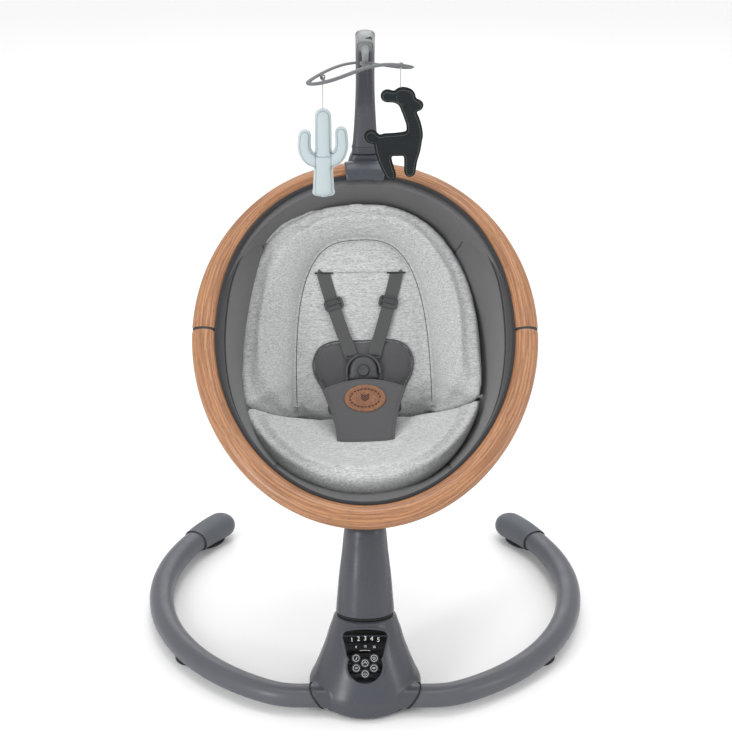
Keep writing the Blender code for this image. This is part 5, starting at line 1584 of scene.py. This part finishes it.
def make_hanger():
    """The leaf: a ribbon loop, broadest along its lower left side, on a short stem."""
    loop = [hanger_point(0.0725 * cos(a) - 0.0065, 0.0165 * sin(a) * (1 - 0.25 * cos(2 * a)))
            for a in turns_of(200)]

    def ribbon(share):
        swell = 0.0008 * max(0.0, sin(2 * pi * (share - 0.42))) if share > 0.42 else 0.0
        return oval(0.0027 + swell, 0.0017 + swell * 0.8, 20, 2.4)

    pieces = [bar("leaf", loop, ribbon, HANGER, HANGER_GREY, loop=True)]
    rails = ((0, 0.0170, 0.0023), (CACTUS_ALONG, 0.0110, 0.0016), (LLAMA_ALONG, 0.0120, 0.0016))
    for along, reach, radius in rails:
        rail = [hanger_point(along, reach * (k / 10 - 1)) for k in range(21)]
        pieces.append(tube("rail", rail, radius, HANGER, HANGER_GREY, sides=14, up=Vector((1, 0, 0))))
    for along in (CACTUS_ALONG, LLAMA_ALONG):
        eye = [hanger_point(along, 0) + Vector((0.0030 * cos(a), 0, 0.0030 * sin(a) + 0.0014))
               for a in turns_of(28)]
        pieces.append(tube("eye", eye, 0.0009, HANGER, HANGER_GREY, loop=True, up=Vector((0, 1, 0))))
    stem = ((0, 0.0060), (0.0030, 0.0056), (0.0034, 0.0), (0.0044, -0.0016), (0.0050, -0.0040),
            (0.0036, -0.0062), (0, -0.0068))
    pieces.append(turned("stem", stem, moved(BASE, *HANGER_AT), HANGER_GREY, 40))
    finish_piece(merge("hanger_leaf", pieces), "toy_hanger", "light_grey_plastic", "toy_hanger")


# ---------------------------------------------------------------- stuffed toys, drawn in XY, front along Z
TOY_DEPTH = 0.75                              # a stuffed limb's depth, as a share of its width


def limb_mesh(bm, points, radii):
    """A stuffed limb with round ends through the points, flatter in depth."""
    count = 24
    path = [Vector((x, y, 0)) for x, y in points]
    centres = smooth_path(path, count) if len(path) > 2 else [path[0].lerp(path[1], k / (count - 1))
                                                              for k in range(count)]
    sizes = []
    for k in range(count):
        at = k / (count - 1) * (len(radii) - 1)
        low = min(int(at), len(radii) - 2)
        sizes.append(radii[low] + (radii[low + 1] - radii[low]) * (at - low))
    runs = [(centres[min(k + 1, count - 1)] - centres[max(k - 1, 0)]).normalized() for k in range(count)]
    turns = [pi / 2 * k / 6.4 for k in range(1, 7)]
    stations = [(centres[0] - runs[0] * (sizes[0] * sin(t)), runs[0], sizes[0] * cos(t)) for t in turns[::-1]]
    stations += list(zip(centres, runs, sizes))
    stations += [(centres[-1] + runs[-1] * (sizes[-1] * sin(t)), runs[-1], sizes[-1] * cos(t)) for t in turns]
    rows = []
    for centre, run, size in stations:
        across = Vector((run.y, -run.x, 0))
        rows.append([centre + across * (size * cos(a)) + Vector((0, 0, size * TOY_DEPTH * sin(a)))
                     for a in turns_of(20)])
    add_rod(bm, rows)


def toy(name, limbs, matrix, surface, creases):
    bm = bmesh.new()
    for points, radii in limbs:
        limb_mesh(bm, points, radii)
    bmesh.ops.recalc_face_normals(bm, faces=bm.faces)
    made = from_bmesh(name, bm, matrix, surface)
    inflate(made, 0.0014, 0.0009, pressure=2.0, smoothing=4)
    for points in creases:
        press_along(made, points, 0.0013, 0.0011)
    return made


def silhouette(obj):
    """The toy's outline where its two halves are sewn, as closed loops of points."""
    bm = bmesh.new()
    bm.from_mesh(obj.data)
    cut_at = bmesh.ops.bisect_plane(bm, geom=bm.verts[:] + bm.edges[:] + bm.faces[:], plane_co=(0, 0, 0.00002),
                                    plane_no=(0, 0, 1))
    edges = {e for e in cut_at["geom_cut"] if isinstance(e, bmesh.types.BMEdge)}
    loops = []
    while edges:
        edge = min(edges, key=lambda e: (round(e.verts[0].co.y, 7), round(e.verts[0].co.x, 7)))
        edges.discard(edge)
        chain = [edge.verts[0], edge.verts[1]]
        growing = True
        while growing:
            growing = False
            for step in chain[-1].link_edges:
                if step in edges:
                    edges.discard(step)
                    chain.append(step.other_vert(chain[-1]))
                    growing = True
                    break
        loops.append([v.co.copy() for v in chain[:-1]])
    bm.free()
    return loops


def evened(points, pitch):
    """A closed loop's points at an even pitch, smoothed a little."""
    closed = [*points, points[0]]
    lengths = run_lengths(closed)
    count = max(12, int(lengths[-1] / pitch))
    even = [at_length(closed, lengths, lengths[-1] * k / count) for k in range(count)]
    for _ in range(3):
        even = [(even[k - 1] + even[k] * 2 + even[(k + 1) % count]) / 4 for k in range(count)]
    return even


def sew_toy(made, prefix, body, slot, edge_surface, thread, creases):
    """A flat sewn border round the toy, and stitches just inside it and along its creases."""
    borders, seams = [], []
    matrix = made.matrix_world.copy()
    for loop in silhouette(made):
        if len(loop) < 30:
            continue
        line = evened(loop, 0.0012)
        border = bar("border", line, lambda t: oval(0.0014, 0.0006, 12, 2.5), matrix, edge_surface, loop=True)
        borders.append(border)
        inner = []
        for k, point in enumerate(line):
            across = (line[(k + 1) % len(line)] - line[k - 1]).normalized().cross(UP)
            for way in (1, -1):
                probe = point + across * (0.0020 * way)
                hit = draped(made, [(probe.x, probe.y)], 0.0001)
                if hit and hit[0].z > 0.0004:
                    inner.append(hit[0])
                    break
        seams.append([*inner, inner[0]])
    for points in creases:
        seams.append(draped(made, points, 0.0001))
    finish_piece(merge(prefix + "_border", borders), body, slot)
    dashes = [stitches("dashes", seam, 0.0032, 0.00042, matrix, thread) for seam in seams]
    finish_piece(merge(prefix + "_stitching", dashes), body, slot)


CACTUS_LIMBS = (
    (((0, -0.0102), (0, -0.0600), (0, -0.1100)), (0.0100, 0.0104, 0.0130)),
    (((-0.0098, -0.1168), (0.0098, -0.1168)), (0.0046, 0.0046)),
    (((-0.0245, -0.0370), (-0.0250, -0.0560), (-0.0170, -0.0700), (0, -0.0740)),
     (0.0076, 0.0080, 0.0088, 0.0090)),
    (((0.0240, -0.0325), (0.0245, -0.0540), (0.0170, -0.0690), (0, -0.0740)),
     (0.0074, 0.0080, 0.0088, 0.0090)))
CACTUS_CREASES = (*([(x, -0.0560 - 0.0006 * k) for k in range(50)] for x in (-0.0104, 0.0104)),
                  [(-0.0100 + 0.0010 * k, -0.0655 + 0.0006 * sin(k)) for k in range(21)])
LLAMA_LIMBS = (
    (((0.0030, -0.0125), (0.0070, -0.0135)), (0.0122, 0.0122)),
    (((-0.0175, -0.0118), (-0.0100, -0.0130), (0.0, -0.0150)), (0.0082, 0.0068, 0.0072)),
    (((0.0110, -0.0190), (0.0225, -0.0250)), (0.0060, 0.0074)),
    (((0.0075, -0.0200), (0.0125, -0.0360), (0.0180, -0.0520), (0.0190, -0.0680), (0.0130, -0.0800)),
     (0.0095, 0.0082, 0.0088, 0.0105, 0.0130)),
    (((-0.0190, -0.0800), (-0.0040, -0.0800), (0.0120, -0.0780)), (0.0148, 0.0156, 0.0160)),
    (((-0.0225, -0.0860), (-0.0205, -0.1020), (-0.0125, -0.1240)), (0.0110, 0.0082, 0.0064)),
    (((0.0160, -0.0860), (0.0145, -0.1040), (0.0135, -0.1190)), (0.0110, 0.0076, 0.0066)),
    (((-0.0390, -0.0685), (-0.0380, -0.0695)), (0.0086, 0.0086)),
    (((-0.0370, -0.0700), (-0.0250, -0.0740)), (0.0040, 0.0060)))
CHEEK = [radians(150 + 6 * k) for k in range(24)]
LLAMA_CREASES = ([(0.0100 * cos(a) + 0.0048, -0.0130 + 0.0100 * sin(a)) for a in CHEEK],)
TOYS = (
    ("cactus", "pale_felt", CACTUS_ALONG, CACTUS_STRING, CACTUS_LIMBS, CACTUS_CREASES,
     PALE_FELT, PALE_EDGE, THREAD_GREY),
    ("llama", "dark_felt", LLAMA_ALONG, LLAMA_STRING, LLAMA_LIMBS, LLAMA_CREASES,
     DARK_FELT, DARK_EDGE, THREAD_MOSS))


def make_toys():
    knot_shape = ((0, 0.0016), (0.0014, 0.0010), (0.0017, 0), (0.0014, -0.0010), (0, -0.0016))
    for name, slot, along, drop, limbs, creases, cloth, edge, thread in TOYS:
        top = toy_top(along)
        path = [top + Vector((0, 0, 0.0010 - (drop + 0.0020) * k / 12)) for k in range(13)]
        cord = tube(name + "_cord", path, 0.00060, Matrix.Identity(4), STRING, sides=10, up=Vector((0, 1, 0)))
        finish_piece(cord, name + "_string", "toy_string", name + "_string")
        knot = turned(name + "_knot", knot_shape, Matrix.Translation(top + Vector((0, 0, 0.0004))), STRING, 16)
        finish_piece(knot, name + "_string", "toy_string")
        hung = Matrix.Translation(top + Vector((0, 0, -drop - 0.0003))) @ Matrix.Rotation(pi / 2, 4, "X")
        stuffed = toy(name + "_cloth", limbs, hung, cloth, creases)
        finish_piece(stuffed, name + "_toy", slot, name + "_toy")
        sew_toy(stuffed, name, name + "_toy", slot, edge, thread, creases)


# ---------------------------------------------------------------- what the CAD's own nodes are made of
CAD_LOOKS = {
    BLACK: ("pod_base_plate", "speaker", "dc_inlet", "seat_spine", "recline_lever"),
    RUBBER: ("pod_foot_ring", "left_foot_sole", "right_foot_sole", "left_leg_pad", "right_leg_pad"),
    BOARD: ("control_board",),
    COPPER: ("drive_coil",),
    NYLON: ("lower_bearing", "upper_bearing"),
    STEEL: ("base_screw_left", "base_screw_right", "column_shaft", "drive_magnet", "hinge_pin"),
    ALLOY: ("hinge_arm", "hub_bracket")}


def finish_cad_nodes():
    """The carried-over nodes keep their shape and take a finish."""
    for surface, names in CAD_LOOKS.items():
        for name in names:
            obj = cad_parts[name]
            obj.data.materials.clear()
            obj.data.materials.append(surface)


def make_tag():
    """A plain folded label on the left of the bowl."""
    rows = []
    for k in range(13):
        t = k / 12
        phi = radians(-62) - 0.075 * t
        rows.append([bowl_point(0.10 + 0.085 * s, phi, 0.0052 + 0.0016 * sin(pi * s) + 0.0006 * sin(3 * t))
                     for s in (j / 8 for j in range(9))])
    label = skin("side_label", rows, RING, TAPE_CLOTH, ring=False)
    thick = label.modifiers.new("thick", "SOLIDIFY")
    thick.thickness = 0.0008
    applied(label)
    finish_piece(label, "seat", "shell_fabric")


# ---------------------------------------------------------------- stage
LAMPS = (  # name, place, width, height, power
    ("key", (-1.7, -1.9, 1.2), 0.55, 1.7, 26), ("rim", (2.1, -0.9, 1.3), 0.30, 1.6, 9),
    ("top", (0.1, 0.3, 2.8), 1.5, 1.5, 20), ("back", (0.0, 2.6, 1.6), 1.4, 1.0, 8))


def make_stage():
    floor = bpy.data.materials.new("studio_floor")
    floor.use_nodes = True
    faint = noise(floor, coords(floor), 3, 2)
    to_shader(floor, "Base Color", mixed(floor, faint, (0.96, 0.96, 0.96), (0.98, 0.98, 0.98)))
    bpy.ops.mesh.primitive_plane_add(size=30, location=(0, 0, -0.0002))
    ground = bpy.context.object
    ground.name = "floor"
    ground.data.materials.append(floor)

    world = bpy.data.worlds.new("studio")
    bpy.context.scene.world = world
    world.use_nodes = True
    sky = world.node_tree.nodes["Background"]
    sky.inputs["Color"].default_value = (1, 1, 1, 1)
    sky.inputs["Strength"].default_value = 0.92
    for name, place, wide, tall, power in LAMPS:
        lamp = bpy.data.lights.new(name, "AREA")
        lamp.shape = "RECTANGLE"
        lamp.size, lamp.size_y = wide, tall
        lamp.energy = power
        obj = bpy.data.objects.new(name, lamp)
        bpy.context.scene.collection.objects.link(obj)
        obj.location = place
        obj.rotation_euler = (Vector((0, 0, 0.40)) - Vector(place)).to_track_quat("-Z", "Y").to_euler()

    lens = bpy.data.cameras.new("camera")
    lens.lens = 102.1
    lens.shift_x = 0.0012
    camera = bpy.data.objects.new("camera", lens)
    bpy.context.scene.collection.objects.link(camera)
    target = Vector((0, 0.0471, 0.383))
    rise = radians(24.9)
    distance = 3.0
    camera.location = target + Vector((0, -cos(rise), sin(rise))) * distance
    camera.rotation_euler = (target - camera.location).to_track_quat("-Z", "Y").to_euler()
    bpy.context.scene.camera = camera
    bpy.context.scene.view_settings.view_transform = "Standard"


make_pod()
make_legs()
make_column()
make_ring()
make_shell()
knit_back = make_insert()
make_tag()
make_harness(knit_back)
make_toy_bar()
make_hanger()
make_toys()
finish_cad_nodes()
make_stage()
